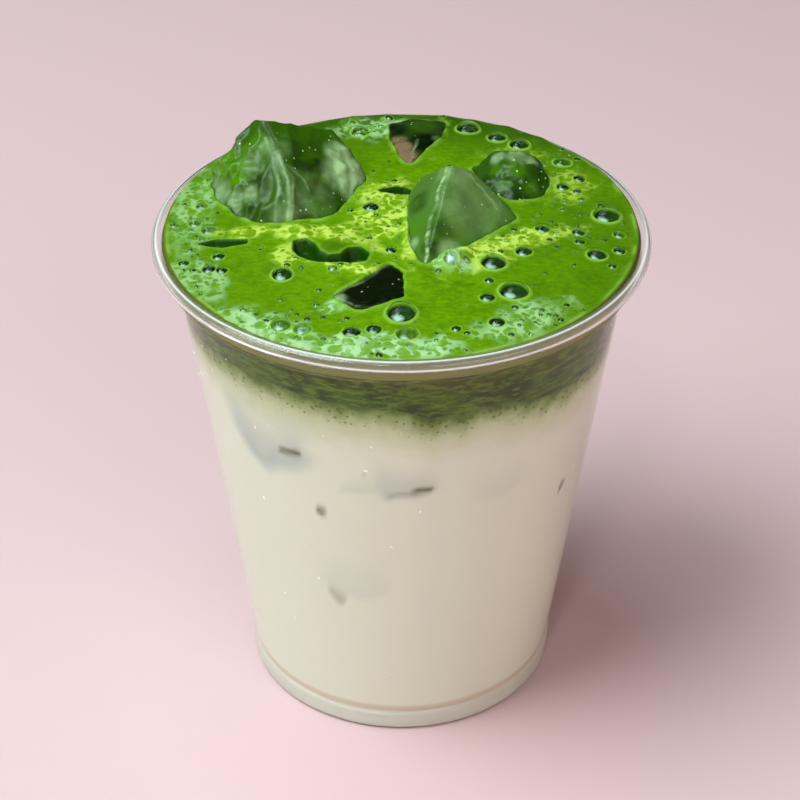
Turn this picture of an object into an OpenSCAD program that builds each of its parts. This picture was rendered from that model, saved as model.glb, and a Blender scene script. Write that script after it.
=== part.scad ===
// Iced matcha latte in a clear thermoformed cup.
// Milk below, matcha above it, and a crown of foam with chunks of ice standing in it.
// Origin: centre of the foot, on the table. +Z is up and -Y is the front. Millimetres.

/* [Cup] */
// Width across the rolled rim
rim_d = 98; // [80:0.5:120]
// Height from the table to the top of the rim
cup_h = 103; // [85:0.5:126]
// Width across the foot
foot_d = 65.2; // [54:0.2:80]
// Thickness of the formed plastic
wall = 0.5; // [0.4:0.05:0.8]
// Thickness of the rolled rim
bead_d = 2.6; // [2.2:0.1:3.4]
// Length of the straight collar under the rim
collar_h = 4.1; // [3:0.1:8]
// How far the collar stands out from the tapered wall
collar_step = 2.4; // [1:0.1:4]
// Height of the sloping shoulder under the collar
shoulder_h = 1.5; // [0.8:0.1:3]
// Height of the heel above the table
heel_h = 5; // [4:0.1:8]
// How far the heel stands out from the tapered wall
heel_step = 0.35; // [0.2:0.05:0.8]
// Width of the ring that the cup stands on
foot_ring = 3; // [2:0.1:5]
// Rounding of the heel's lower edge
foot_round = 1.1; // [0.6:0.1:1.6]
// How far the floor is pushed up between the ring
push_up = 3; // [1.5:0.1:3.8]

/* [Drink] */
// Depth from the rim down to the line where the foam meets the plastic
brim_gap = 0.6; // [0.4:0.1:1]
// Thickness of the foam at the wall
foam_t = 4.4; // [3:0.1:8]
// Height of the foam's crown above the rim
foam_crown = 1.9; // [0.8:0.1:2.4]
// How far behind the middle the crown lies
foam_crown_y = 20; // [0:1:25]
// Radius of the foam's gently domed top
foam_dome_r = 800; // [500:10:1500]
// Rounding of the foam's edge where it leaves the rim
foam_round = 3; // [2.5:0.1:4]
// Thickness of the matcha under the foam, at the middle
matcha_t = 10; // [6:0.5:20]
// Slope of the matcha's lower face, lower on the right
matcha_tilt = 3.3; // [0:0.1:6]

/* [Ice] */
// Rounding of the melted corners
ice_round = 0.6; // [0.3:0.1:1]
// Depth of the large chunks below the rim
ice_depth = 11; // [8:0.5:14]
// Depth of the small flush chunks below the rim
ice_small_depth = 7; // [5:0.5:10]
// Clear drink between any ice and the plastic
ice_clear = 0.8; // [0.5:0.1:2]
// Height of the left chunk's peak above the rim
left_peak = 13.4; // [8:0.2:18]
// Height of the middle chunk's peak above the rim
centre_peak = 11.4; // [6:0.2:16]
// Height of the right chunk's crest above the rim
right_peak = 5; // [3:0.2:8]
// How far the flush chunks stand out of the foam
flush_rise = 0.3; // [0.1:0.1:1]

/* [Hidden] */

// Facets of a turned piece, steps of a rolled arc, and facets of an ice corner
$fn = 128;
arc_steps = 12;
corner_fn = 8;

// Rim: a bead of radius bead_r, rolled round a circle at bead_x and bead_z
bead_r = bead_d / 2;
bead_x = rim_d / 2 - bead_r;
bead_z = cup_h - bead_r;
// Past the brim the roll's outer face goes on from curl_start, over the top and the outer
// side, and it ends under that side at curl_end
curl_start = 120;
curl_end = -60;

// Outer radii of the wall
collar_r = bead_x - bead_r + wall;
taper_top_r = collar_r - collar_step;
foot_r = foot_d / 2;
taper_foot_r = foot_r - heel_step;

// Levels of the wall
collar_z = bead_z - collar_h;
shoulder_z = collar_z - shoulder_h;
crease_h = 0.5;

// Levels of the drink
brim_z = cup_h - brim_gap;
brim_angle = 180 - asin((brim_z - bead_z) / bead_r);
brim_r = bead_x + bead_r * cos(brim_angle);
foam_z = brim_z - foam_t;
matcha_z = foam_z - matcha_t;
// A block larger than the whole cup, for cutting
block = 3 * max(rim_d, cup_h);

// The dome is turned out to past the front of the rim, in rings
dome_reach = rim_d / 2 + foam_crown_y;
dome_steps = 12;

// The ice is laid out over this mouth radius, and its places and widths spread with the
// cup's own
mouth_layout = 46.4;
mouth_r = collar_r - wall;
spread = mouth_r / mouth_layout;

// Height of the foam's dome over the rim, at a distance from its crown
function dome_level(r) = foam_crown - pow(r, 2) / (2 * foam_dome_r);

function arc(x, z, r, from, to, n = arc_steps) =
    [for (i = [0 : n]) let (a = from + (to - from) * i / n) [x + r * cos(a), z + r * sin(a)]];

// Inner face of the plastic, from the middle of the floor to the brim of the drink
function inner_face(clear = 0) = concat(
    [[0, push_up + wall],
     [foot_r - foot_ring - wall - clear, push_up + wall],
     [foot_r - foot_ring + wall / 2 - clear, wall]],
    arc(foot_r - foot_round - clear, foot_round, foot_round - wall, -90, 0, 4),
    [[foot_r - wall - clear, heel_h - crease_h],
     [taper_foot_r - wall - clear, heel_h],
     [taper_top_r - wall - clear, shoulder_z],
     [collar_r - wall - clear, collar_z]],
    arc(bead_x - clear, bead_z, bead_r, 180, brim_angle, 3));

// Outer face of the plastic, from under the rolled rim down to the middle of the floor
function outer_face() = concat(
    [[collar_r, collar_z],
     [taper_top_r, shoulder_z],
     [taper_foot_r, heel_h],
     [foot_r, heel_h - crease_h]],
    arc(foot_r - foot_round, foot_round, foot_round, 0, -90, 4),
    [[foot_r - foot_ring, 0],
     [foot_r - foot_ring - 1.5 * wall, push_up],
     [0, push_up]]);

// Cup: one formed sheet from the pushed-up floor to the rolled rim
module cup() {
    color([0.88, 0.92, 0.91, 0.45])
        rotate_extrude()
            polygon(concat(
                inner_face(),
                arc(bead_x, bead_z, bead_r, curl_start, curl_end),
                arc(bead_x, bead_z, bead_r - wall, curl_end, 180),
                outer_face()));
}

// All that the cup holds, up to the brim and bulging over it with a round edge
module contents() {
    rotate_extrude()
        polygon(concat(
            inner_face(),
            arc(brim_r - foam_round, brim_z, foam_round, 0, 90),
            [[0, brim_z + foam_round]]));
}

// The space inside the cup that the ice may take, open above the rim
module ice_room() {
    rotate_extrude()
        polygon(concat(
            inner_face(ice_clear),
            [[brim_r - ice_clear, cup_h + 2 * left_peak],
             [0, cup_h + 2 * left_peak]]));
}

// Everything over the sloping face between milk and matcha
module above_milk() {
    translate([0, 0, matcha_z])
        rotate([0, matcha_tilt, 0])
            translate([-block / 2, -block / 2, 0])
                cube(block);
}

// Everything over the level face between matcha and foam
module above_matcha() {
    translate([-block / 2, -block / 2, foam_z])
        cube(block);
}

// Milk: fills the foot ring and the tapered wall
module milk() {
    color("#E6E2D2")
        difference() {
            contents();
            above_milk();
            all_ice();
        }
}

// Matcha: the dark layer that floats on the milk
module matcha() {
    color("#5C6430")
        difference() {
            intersection() {
                contents();
                above_milk();
            }
            above_matcha();
            all_ice();
        }
}

// Everything under the foam's dome, which is turned about its own crown
module under_dome() {
    translate([0, foam_crown_y, 0])
        rotate_extrude()
            polygon(concat(
                [[0, foam_z], [dome_reach, foam_z]],
                [for (i = [dome_steps : -1 : 0])
                    let (r = dome_reach * i / dome_steps) [r, cup_h + dome_level(r)]]));
}

// Foam: domed, highest behind the middle, with a pocket round each chunk of ice
module foam() {
    color("#5FA308")
        difference() {
            intersection() {
                contents();
                under_dome();
            }
            all_ice();
        }
}

// A chunk of ice: the hull of its melted corners. at is its place on the layout of the
// mouth; top and bottom are corners [x, y, z] from there, with z over the rim.
module chunk(at, top, bottom) {
    intersection() {
        ice_room();
        translate([at[0] * spread, at[1] * spread, cup_h])
            hull()
                for (corner = concat(top, bottom))
                    translate([corner[0] * spread, corner[1] * spread, corner[2]])
                        sphere(r = ice_round, $fn = corner_fn);
    }
}

// A chunk whose flat top lies just out of the foam, over the outline given
module flush_chunk(at, outline, base, ridge = []) {
    from_crown = norm([at[0] * spread, at[1] * spread - foam_crown_y]);
    rise = dome_level(from_crown) + flush_rise - ice_round;
    chunk(at,
          concat([for (p = outline) [p[0], p[1], rise]],
                 [for (p = ridge) [p[0], p[1], rise + p[2]]]),
          [for (p = base) [p[0], p[1], -ice_small_depth]]);
}

// Left: the largest, a tent with its peak at the back left and a ridge down its front
module ice_left() {
    color("#4F7F45")
        chunk([-23, 11],
              [[-6, 7, left_peak], [-10, 5, left_peak - 2.5], [-14, 6, left_peak - 9],
               [-15, 3, 0], [-0.5, -2, left_peak - 3], [1, -7.5, left_peak - 6],
               [-10, -8, 0], [-6, -11, 0], [2, -11.5, 0], [9, -9, 0], [15.5, 4, 0],
               [14.5, 7, left_peak - 9], [11.5, 9, left_peak - 6.4],
               [8.5, 11, left_peak - 4], [-1.5, 9, left_peak - 3],
               [-6, 15, 0], [8, 16, 0]],
              [[-10, 4, -ice_depth], [-7, -6, -ice_depth], [8, -4, -ice_depth],
               [10, 8, -ice_depth], [-2, 12, -ice_depth]]);
}

// Middle: a wedge whose wide frosty side leans back from the front
module ice_centre() {
    color("#67945F")
        chunk([10, -3],
              [[-5.5, -13.5, 0], [-8.2, -6, 0], [-8, 3, 3.4], [-8, 10, 3],
               [-5.4, 11, 6.5], [-0.3, 6, centre_peak], [3.4, 8, centre_peak - 2.2],
               [11, 7, 2], [12.8, 4.5, 0], [3, -6, 0.6], [-6, 14, 0], [5, 13, 0]],
              [[-5, -6, -ice_depth], [-6, 9, -ice_depth], [6, -1, -ice_depth],
               [5, 10, -ice_depth]]);
}

// Right: a low rounded lump behind the wedge
module ice_right() {
    color("#2F5A1E")
        chunk([22.5, 15.5],
              [[-6.2, 5, 1], [-5, -2, 1.5], [0, -6.6, 0], [4.5, -5, 0], [5.8, -1, 0.5],
               [5, 4, right_peak - 2.6], [1.6, 4.6, right_peak - 0.6],
               [-2.8, 4.6, right_peak - 0.8], [-1, 0, right_peak],
               [3, -0.6, right_peak - 1.4], [0, 7, 1]],
              [[-4, -1, -ice_small_depth], [3, -2.5, -ice_small_depth],
               [3, 4, -ice_small_depth], [-3.5, 4.5, -ice_small_depth]]);
}

// Back: flush with the foam, a V that points to the front with a crease down it
module ice_back() {
    color("#2C3A14")
        flush_chunk([3, 34],
                    [[-5, 6.5], [-1, 8.5], [6, 7], [5, 1], [-1.4, -11], [-3, -7], [-4.8, -1]],
                    [[-3, 5], [4, 5], [3, -1], [-1.5, -8]],
                    [[0.4, 4, 0.6]]);
}

// Front: flush with the foam, a dark slab set across the front
module ice_front() {
    color("#10200A")
        flush_chunk([-5, -23],
                    [[-7.2, -4.2], [2.8, 7.2], [5, 4.4], [5, -3.8], [-2.8, -7.6]],
                    [[-5, -4], [2, 4.5], [4, 2], [3, -4], [-2, -6]]);
}

// Middle: flush with the foam, a bent slab between the left and the front chunks
module ice_middle() {
    color("#1E3A10")
        flush_chunk([-13.5, -10],
                    [[-6.6, 4.6], [-6.2, -1.6], [0, -3.6], [6.4, -3.4], [6.8, -0.6],
                     [4.2, 2]],
                    [[-4.5, 2.5], [-4, -1.5], [4.5, -2.5], [3.5, 0.5]]);
}

// Every chunk, as the drink is cut round them
module all_ice() {
    ice_left();
    ice_centre();
    ice_right();
    ice_back();
    ice_front();
    ice_middle();
}

cup();
milk();
matcha();
foam();
ice_left();
ice_centre();
ice_right();
ice_back();
ice_front();
ice_middle();
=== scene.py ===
"""The looks of an iced matcha latte in its clear cup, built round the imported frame.

Sizes in the classes are in millimetres and angles in degrees, and the meshes are laid down
in metres. The front of the cup is -Y. Everything random is seeded.
"""

import logging
import math
from collections.abc import Iterator
from contextlib import contextmanager
from dataclasses import dataclass, field
from enum import Enum

import bpy
import numpy as np
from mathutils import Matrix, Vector, noise
from mathutils.geometry import delaunay_2d_cdt
from mathutils.kdtree import KDTree


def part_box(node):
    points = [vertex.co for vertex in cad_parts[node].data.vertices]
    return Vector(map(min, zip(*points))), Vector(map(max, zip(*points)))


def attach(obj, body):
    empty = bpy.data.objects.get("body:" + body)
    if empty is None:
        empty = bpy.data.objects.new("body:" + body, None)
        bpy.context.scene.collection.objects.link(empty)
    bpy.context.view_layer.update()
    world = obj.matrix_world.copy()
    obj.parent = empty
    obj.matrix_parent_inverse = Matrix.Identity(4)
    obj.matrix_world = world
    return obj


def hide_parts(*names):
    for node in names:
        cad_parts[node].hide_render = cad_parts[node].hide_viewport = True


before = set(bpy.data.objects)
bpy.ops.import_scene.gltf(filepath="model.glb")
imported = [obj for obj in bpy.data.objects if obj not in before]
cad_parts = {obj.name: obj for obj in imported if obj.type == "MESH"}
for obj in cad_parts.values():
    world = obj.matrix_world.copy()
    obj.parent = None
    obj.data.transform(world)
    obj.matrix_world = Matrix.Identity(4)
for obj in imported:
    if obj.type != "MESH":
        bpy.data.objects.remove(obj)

LOG = logging.getLogger("matcha_latte")
MM = 0.001
BODY = "root"

# Settings of a Map Range node that eases in and out, and of a Math node.
EASED = {"interpolation_type": "SMOOTHSTEP"}
CLAMPED_PRODUCT = {"operation": "MULTIPLY", "use_clamp": True}

# Step of the flat faces inside the drink, which nothing shows, in millimetres.
COARSE = 6.0
# Distance from the axis at which the matcha's wavy edge has its full height.
WAVE_R = 30.0

Point = tuple[float, float]
Source = bpy.types.NodeSocket | bpy.types.Node


# ---------------------------------------------------------------- small tools


def linear(code: str) -> tuple[float, float, float, float]:
    """Turn an sRGB hex colour to linear.

    Args:
        code: the colour, such as "#5FA308".

    Returns:
        Red, green, blue and an alpha of 1.
    """
    parts = [int(code[i : i + 2], 16) / 255 for i in (1, 3, 5)]
    red, green, blue = [
        c / 12.92 if c <= 0.04045 else ((c + 0.055) / 1.055) ** 2.4 for c in parts
    ]
    return red, green, blue, 1.0


def per_mm(size: float) -> float:
    """Scale for a texture on Object coordinates whose features are size millimetres apart."""
    return 1 / (size * MM)


def feed(tree: bpy.types.NodeTree, node: bpy.types.Node, inputs: dict) -> None:
    """Set some of a node's sockets.

    Args:
        tree: the material's nodes.
        node: the node to feed.
        inputs: its sockets by name or number, each with a value, the socket to link, or a
            node whose first output is linked.
    """
    for key, value in inputs.items():
        if isinstance(value, bpy.types.Node):
            value = value.outputs[0]
        if isinstance(value, bpy.types.NodeSocket):
            tree.links.new(value, node.inputs[key])
        else:
            node.inputs[key].default_value = value


def add_node(
    tree: bpy.types.NodeTree,
    kind: str,
    settings: dict | None = None,
    inputs: dict | None = None,
) -> bpy.types.Node:
    """Add a node, set it up and feed it.

    Args:
        tree: the material's nodes.
        kind: the node's type.
        settings: its properties by name.
        inputs: what its sockets get, as in feed.

    Returns:
        The new node.
    """
    node = tree.nodes.new(kind)
    for name, value in (settings or {}).items():
        setattr(node, name, value)
    feed(tree, node, inputs or {})
    return node


def new_material(
    name: str,
) -> tuple[bpy.types.Material, bpy.types.NodeTree, bpy.types.Node]:
    """Make a material.

    Args:
        name: the material's name.

    Returns:
        The material, its nodes and its Principled shader.
    """
    material = bpy.data.materials.new(name)
    material.use_nodes = True
    tree = material.node_tree
    return material, tree, tree.nodes["Principled BSDF"]


def overlaid(
    tree: bpy.types.NodeTree,
    base: str,
    layers: list[tuple[Source, str]],
) -> bpy.types.NodeSocket:
    """Lay colours over each other.

    Args:
        tree: the material's nodes.
        base: the lowest colour.
        layers: for each further colour, what says how much of it, and the colour.

    Returns:
        The socket with the finished colour.
    """
    colour = add_node(tree, "ShaderNodeRGB").outputs[0]
    colour.default_value = linear(base)
    for amount, code in layers:
        inputs = {0: amount, 6: colour, 7: linear(code)}
        colour = add_node(tree, "ShaderNodeMix", {"data_type": "RGBA"}, inputs).outputs[2]
    return colour


def deselect_all() -> None:
    """Leave nothing selected."""
    bpy.ops.object.select_all(action="DESELECT")


def activate(piece: bpy.types.Object) -> None:
    """Select one piece alone and make it the active one."""
    deselect_all()
    piece.select_set(True)
    bpy.context.view_layer.objects.active = piece


def points_of(piece: bpy.types.Object) -> np.ndarray:
    """Places of a mesh's points, in millimetres."""
    flat = np.empty(len(piece.data.vertices) * 3, np.float32)
    piece.data.vertices.foreach_get("co", flat)
    return flat.reshape(-1, 3).astype(float) / MM


def place_points(piece: bpy.types.Object, points: np.ndarray) -> None:
    """Move a mesh's points to places given in millimetres."""
    piece.data.vertices.foreach_set("co", (points * MM).astype(np.float32).ravel())
    piece.data.update()


def normals_of(piece: bpy.types.Object) -> np.ndarray:
    """Directions that a mesh's points face."""
    flat = np.empty(len(piece.data.vertices) * 3, np.float32)
    piece.data.vertices.foreach_get("normal", flat)
    return flat.reshape(-1, 3).astype(float)


def paint(piece: bpy.types.Object, name: str, values: np.ndarray) -> None:
    """Keep one number for each point of a mesh, for its material to read."""
    layer = piece.data.attributes.new(name, "FLOAT", "POINT")
    layer.data.foreach_set("value", values.astype(np.float32))


def apply_modifier(piece: bpy.types.Object, kind: str, **settings: float | str | bool) -> None:
    """Add a modifier and apply it at once.

    Args:
        piece: the piece to change.
        kind: the modifier's type.
        **settings: its properties by name.
    """
    activate(piece)
    modifier = piece.modifiers.new(kind.lower(), kind)
    for name, value in settings.items():
        setattr(modifier, name, value)
    bpy.ops.object.modifier_apply(modifier=modifier.name)


@contextmanager
def whole_mesh() -> Iterator[None]:
    """Edit the active piece with all of its mesh selected, then leave edit mode."""
    bpy.ops.object.mode_set(mode="EDIT")
    bpy.ops.mesh.select_all(action="SELECT")
    yield
    bpy.ops.object.mode_set(mode="OBJECT")


def close_up(piece: bpy.types.Object, merge: float = 0.001) -> None:
    """Merge doubles, drop what hangs loose and turn the faces outwards.

    Args:
        piece: the piece to mend.
        merge: how near points are merged, in millimetres.
    """
    activate(piece)
    with whole_mesh():
        bpy.ops.mesh.remove_doubles(threshold=merge * MM)
        bpy.ops.mesh.delete_loose()
        bpy.ops.mesh.select_all(action="SELECT")
        bpy.ops.mesh.normals_make_consistent(inside=False)


def smooth(piece: bpy.types.Object, angle: float = 180.0) -> None:
    """Shade a piece smooth, with edges sharper than the angle left crisp."""
    activate(piece)
    bpy.ops.object.shade_smooth_by_angle(angle=math.radians(angle))


def settle(
    piece: bpy.types.Object,
    material: bpy.types.Material,
    replaces: str | None = None,
) -> None:
    """Dress a finished piece, hang it on the object's one body and report it.

    Args:
        piece: the finished piece.
        material: its finish.
        replaces: the frame's node that it stands for, if any.
    """
    piece.data.materials.clear()
    piece.data.materials.append(material)
    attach(piece, BODY)
    if replaces:
        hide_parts(replaces)
    LOG.info("%s: %d points, %s", piece.name, len(piece.data.vertices), material.name)


def arc(x: float, z: float, r: float, start: float, end: float, steps: int) -> list[Point]:
    """Points along an arc.

    Args:
        x: the middle's distance from the axis.
        z: the middle's height.
        r: the radius.
        start: the first point's angle.
        end: the last point's angle.
        steps: how many steps lie between them.

    Returns:
        The points from start to end.
    """
    angles = [math.radians(start + (end - start) * i / steps) for i in range(steps + 1)]
    return [(x + r * math.cos(a), z + r * math.sin(a)) for a in angles]


def eased(chain: list[Point], reach: float, sharp: float = 20.0) -> list[Point]:
    """Round off the corners of a chain.

    Args:
        chain: the chain's points.
        reach: how far along either side a rounding goes, at most.
        sharp: the least turn in degrees that counts as a corner.

    Returns:
        The chain with a short curve at each corner.
    """
    out = [chain[0]]
    for before, corner, after in zip(chain, chain[1:], chain[2:]):
        here, back, ahead = (Vector(p) for p in (corner, before, after))
        back, ahead = back - here, ahead - here
        if math.degrees((-back).angle(ahead)) < sharp:
            out.append(corner)
            continue
        first = here + back.normalized() * min(reach, back.length * 0.4)
        last = here + ahead.normalized() * min(reach, ahead.length * 0.4)
        for t in (0, 0.25, 0.5, 0.75, 1):
            spot = first * (1 - t) ** 2 + here * 2 * t * (1 - t) + last * t**2
            out.append((spot.x, spot.y))
    return [*out, chain[-1]]


def resampled(chain: list[Point], step: float) -> list[Point]:
    """Split the long sides of a chain.

    Args:
        chain: the chain's points.
        step: the longest side that is left.

    Returns:
        The chain with the points between.
    """
    out = [chain[0]]
    for start, end in zip(chain, chain[1:]):
        parts = max(1, math.ceil(math.dist(start, end) / step))
        for i in range(1, parts + 1):
            share = i / parts
            out.append(tuple(a + (b - a) * share for a, b in zip(start, end)))
    return out


def spun(name: str, profile: list[Point], steps: int) -> bpy.types.Object:
    """Turn a profile that starts and ends on the axis into a closed piece.

    Args:
        name: the piece's name.
        profile: distances from the axis and heights.
        steps: how many steps the full turn takes.

    Returns:
        The piece, with its poles and its seam closed.
    """
    deselect_all()
    bpy.ops.mesh.primitive_circle_add(vertices=len(profile), radius=MM)
    piece = bpy.context.active_object
    piece.name = name
    place_points(piece, np.array([(r, 0.0, z) for r, z in profile]))
    with whole_mesh():
        bpy.ops.mesh.spin(steps=steps, angle=2 * math.pi, center=(0, 0, 0), axis=(0, 0, 1))
    close_up(piece)
    return piece


def mesh_piece(name: str, points: np.ndarray, faces: list) -> bpy.types.Object:
    """Lay down a piece.

    Args:
        name: the piece's name.
        points: its points, in millimetres.
        faces: for each face, the numbers of its points.

    Returns:
        The piece.
    """
    mesh = bpy.data.meshes.new(name)
    mesh.from_pydata((points * MM).tolist(), [], faces)
    piece = bpy.data.objects.new(name, mesh)
    bpy.context.scene.collection.objects.link(piece)
    return piece


def copies(
    name: str, model: bpy.types.Object, turns: list[np.ndarray], places: np.ndarray
) -> bpy.types.Object:
    """Join many copies of one small model in a single piece.

    Args:
        name: the piece's name.
        model: what is copied; it is removed afterwards.
        turns: for each copy, the 3 by 3 matrix that turns and scales it.
        places: for each copy, its place in millimetres.

    Returns:
        The joined piece.
    """
    shape = points_of(model)
    faces = [list(face.vertices) for face in model.data.polygons]
    points = np.concatenate([shape @ turn.T + at for turn, at in zip(turns, places)])
    joined = [
        [v + n * len(shape) for v in face] for n in range(len(places)) for face in faces
    ]
    bpy.data.objects.remove(model)
    return mesh_piece(name, points, joined)


def circle(turn: np.ndarray) -> np.ndarray:
    """Points of the unit circle at the angles given, in radians."""
    return np.stack([np.cos(turn), np.sin(turn)], 1)


def plan_length(points: np.ndarray) -> np.ndarray:
    """How far each point lies from the axis, or how long each step is, in plan."""
    return np.hypot(points[:, 0], points[:, 1])


def ramp(values: np.ndarray, start: float, end: float) -> np.ndarray:
    """Smooth step from 0 at start to 1 at end, which may lie the other way round."""
    t = np.clip((values - start) / (end - start), 0, 1)
    return t * t * (3 - 2 * t)


@dataclass(frozen=True)
class Grain:
    """Smooth seeded noise over a plane, about -1 to 1, with its bumps one size apart."""

    size: float
    seed: int
    CELLS = 97

    def at(self, x: np.ndarray, y: np.ndarray) -> np.ndarray:
        """Read the noise.

        Args:
            x: places across, in millimetres.
            y: places in depth, in millimetres.

        Returns:
            The noise at each place.
        """
        table = np.random.default_rng(self.seed).uniform(-1, 1, (self.CELLS, self.CELLS))
        u, v = x / self.size + self.CELLS * 10, y / self.size + self.CELLS * 10
        i, j = np.floor(u).astype(int), np.floor(v).astype(int)
        f, g = ramp(u - i, 0, 1), ramp(v - j, 0, 1)
        i, j, k, m = (n % self.CELLS for n in (i, j, i + 1, j + 1))
        near = table[i, j] * (1 - f) + table[k, j] * f
        far = table[i, m] * (1 - f) + table[k, m] * f
        return near * (1 - g) + far * g


# ------------------------------------------------------------------ finishes


@dataclass(frozen=True)
class ClearPet:
    """Clear PET, thermoformed from thin sheet: glassy, with a faint draw from the mould."""

    sheet: str = "#FCFEFD"
    # Tint of the painted reflections along the bead.
    pale: str = "#DCF0E2"
    ior: float = 1.36
    roughness: float = 0.025
    draw: float = 9.0

    def make(self) -> bpy.types.Material:
        """Build the finish.

        Returns:
            The material of the cup's sheet.
        """
        material, tree, shader = new_material("clear_pet_sheet")
        place = add_node(tree, "ShaderNodeTexCoord").outputs["Object"]
        waves = add_node(
            tree,
            "ShaderNodeTexNoise",
            inputs={"Vector": place, "Scale": per_mm(self.draw), "Detail": 2.0},
        )
        bump = add_node(
            tree,
            "ShaderNodeBump",
            inputs={"Height": waves, "Strength": 0.12, "Distance": 0.2 * MM},
        )
        # Gleam: two lines along the bead, painted pale in place of the room's reflections.
        gleam = add_node(tree, "ShaderNodeAttribute", {"attribute_name": "gleam"}).outputs["Fac"]
        through = add_node(tree, "ShaderNodeMapRange", inputs={"Value": gleam, 3: 1.0, 4: 0.3})
        finish = {
            "Base Color": overlaid(tree, self.sheet, [(gleam, self.pale)]),
            "Transmission Weight": through,
            "Normal": bump,
            "IOR": self.ior,
            "Roughness": self.roughness,
        }
        feed(tree, shader, finish)
        return material


@dataclass(frozen=True)
class ColdMilk:
    """Cold whole milk, poured: opaque and creamy, stained green just under the matcha."""

    cream: str = "#F1F1E0"
    glow: str = "#C3CC8E"
    stain: str = "#6F8826"
    deep_stain: str = "#435A14"
    powder: str = "#60762A"
    ice_shade: str = "#C3CDC6"
    ice_edge: str = "#6E6A40"
    # Painted shade at the foot: a cool grey over the heel band and a warm line along its crease.
    heel: str = "#E0DED2"
    crease: str = "#D2B092"

    def make(self) -> bpy.types.Material:
        """Build the finish, which reads how deep each point lies below the matcha.

        Returns:
            The material of the milk.
        """
        material, tree, shader = new_material("cold_milk")
        place = add_node(tree, "ShaderNodeTexCoord").outputs["Object"]
        depth, shade, edge, heel, crease = (
            add_node(tree, "ShaderNodeAttribute", {"attribute_name": name}).outputs["Fac"]
            for name in ("below_matcha", "ice_shade", "ice_edge", "heel", "crease")
        )
        # Wisps: the stain hangs down in soft drapes, 4 to 5 mm apart.
        wisps = add_node(
            tree,
            "ShaderNodeTexNoise",
            inputs={"Vector": place, "Scale": per_mm(4.5), "Detail": 5.0, "Roughness": 0.6},
        )
        wander = add_node(
            tree, "ShaderNodeMath", {"operation": "MULTIPLY_ADD"}, {0: wisps, 1: 6.0, 2: -3.0}
        )
        wandered = add_node(tree, "ShaderNodeMath", {"operation": "ADD"}, {0: depth, 1: wander})
        fade, glow, deep = (
            add_node(
                tree,
                "ShaderNodeMapRange",
                EASED,
                {"Value": wandered, 1: near, 2: far, 3: most, 4: 0.0},
            )
            for near, far, most in ((0.0, 5.8, 0.95), (1.0, 13.0, 0.85), (-1.4, 1.8, 1.0))
        )
        # Specks: clumps of undissolved powder, up to 1 mm across, smaller further down.
        specks = add_node(
            tree, "ShaderNodeTexVoronoi", inputs={"Vector": place, "Scale": per_mm(1.25)}
        )
        reach = add_node(
            tree, "ShaderNodeMapRange", inputs={"Value": wandered, 1: 0.5, 2: 9.0, 3: 0.5, 4: 0.0}
        )
        within = add_node(tree, "ShaderNodeMath", {"operation": "SUBTRACT"}, {0: reach, 1: specks})
        speck = add_node(tree, "ShaderNodeMapRange", EASED, {"Value": within, 2: 0.2, 4: 0.8})
        layers = [
            # Painted shade over the heel band and along its crease.
            (heel, self.heel),
            (crease, self.crease),
            (shade, self.ice_shade),
            (edge, self.ice_edge),
            (glow, self.glow),
            (fade, self.stain),
            (speck, self.powder),
            (deep, self.deep_stain),
        ]
        colour = overlaid(tree, self.cream, layers)
        feed(tree, shader, {"Base Color": colour, "Roughness": 0.45, "Specular IOR Level": 0.25})
        return material


@dataclass(frozen=True)
class BrewedMatcha:
    """Whisked matcha pressed against the plastic: dark olive, streaked by fine foam."""

    olive: str = "#4C670C"
    dark: str = "#283E05"
    brown: str = "#565E10"
    mist: str = "#7E9A26"

    def make(self) -> bpy.types.Material:
        """Build the finish, which reads how high each point lies over the milk.

        Returns:
            The material of the matcha.
        """
        material, tree, shader = new_material("brewed_matcha")
        place = add_node(tree, "ShaderNodeTexCoord").outputs["Object"]
        height = add_node(
            tree, "ShaderNodeAttribute", {"attribute_name": "over_milk"}
        ).outputs["Fac"]
        # Streaks: level bands of fine foam, about 1 mm high and three to four times as long.
        flat = add_node(tree, "ShaderNodeMapping", inputs={"Vector": place, "Scale": (1, 1, 3.5)})
        streaks = add_node(
            tree,
            "ShaderNodeTexNoise",
            inputs={"Vector": flat, "Scale": per_mm(3.6), "Detail": 7.0, "Roughness": 0.7},
        )
        # Clouds: darker drifts where less milk has mixed in, about 6 mm apart.
        clouds = add_node(
            tree,
            "ShaderNodeTexNoise",
            inputs={"Vector": place, "Scale": per_mm(6.0), "Detail": 3.0},
        )
        layers = []
        for source, start, end, least, most, code in (
            (clouds, 0.42, 0.62, 0.0, 0.9, self.dark),
            (height, 2.5, 9.0, 0.1, 1.0, self.brown),
            (streaks, 0.46, 0.61, 0.0, 0.65, self.mist),
        ):
            inputs = {"Value": source, 1: start, 2: end, 3: least, 4: most}
            layers.append((add_node(tree, "ShaderNodeMapRange", EASED, inputs), code))
        colour = overlaid(tree, self.olive, layers)
        feed(tree, shader, {"Base Color": colour, "Roughness": 0.5, "Specular IOR Level": 0.2})
        return material


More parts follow.
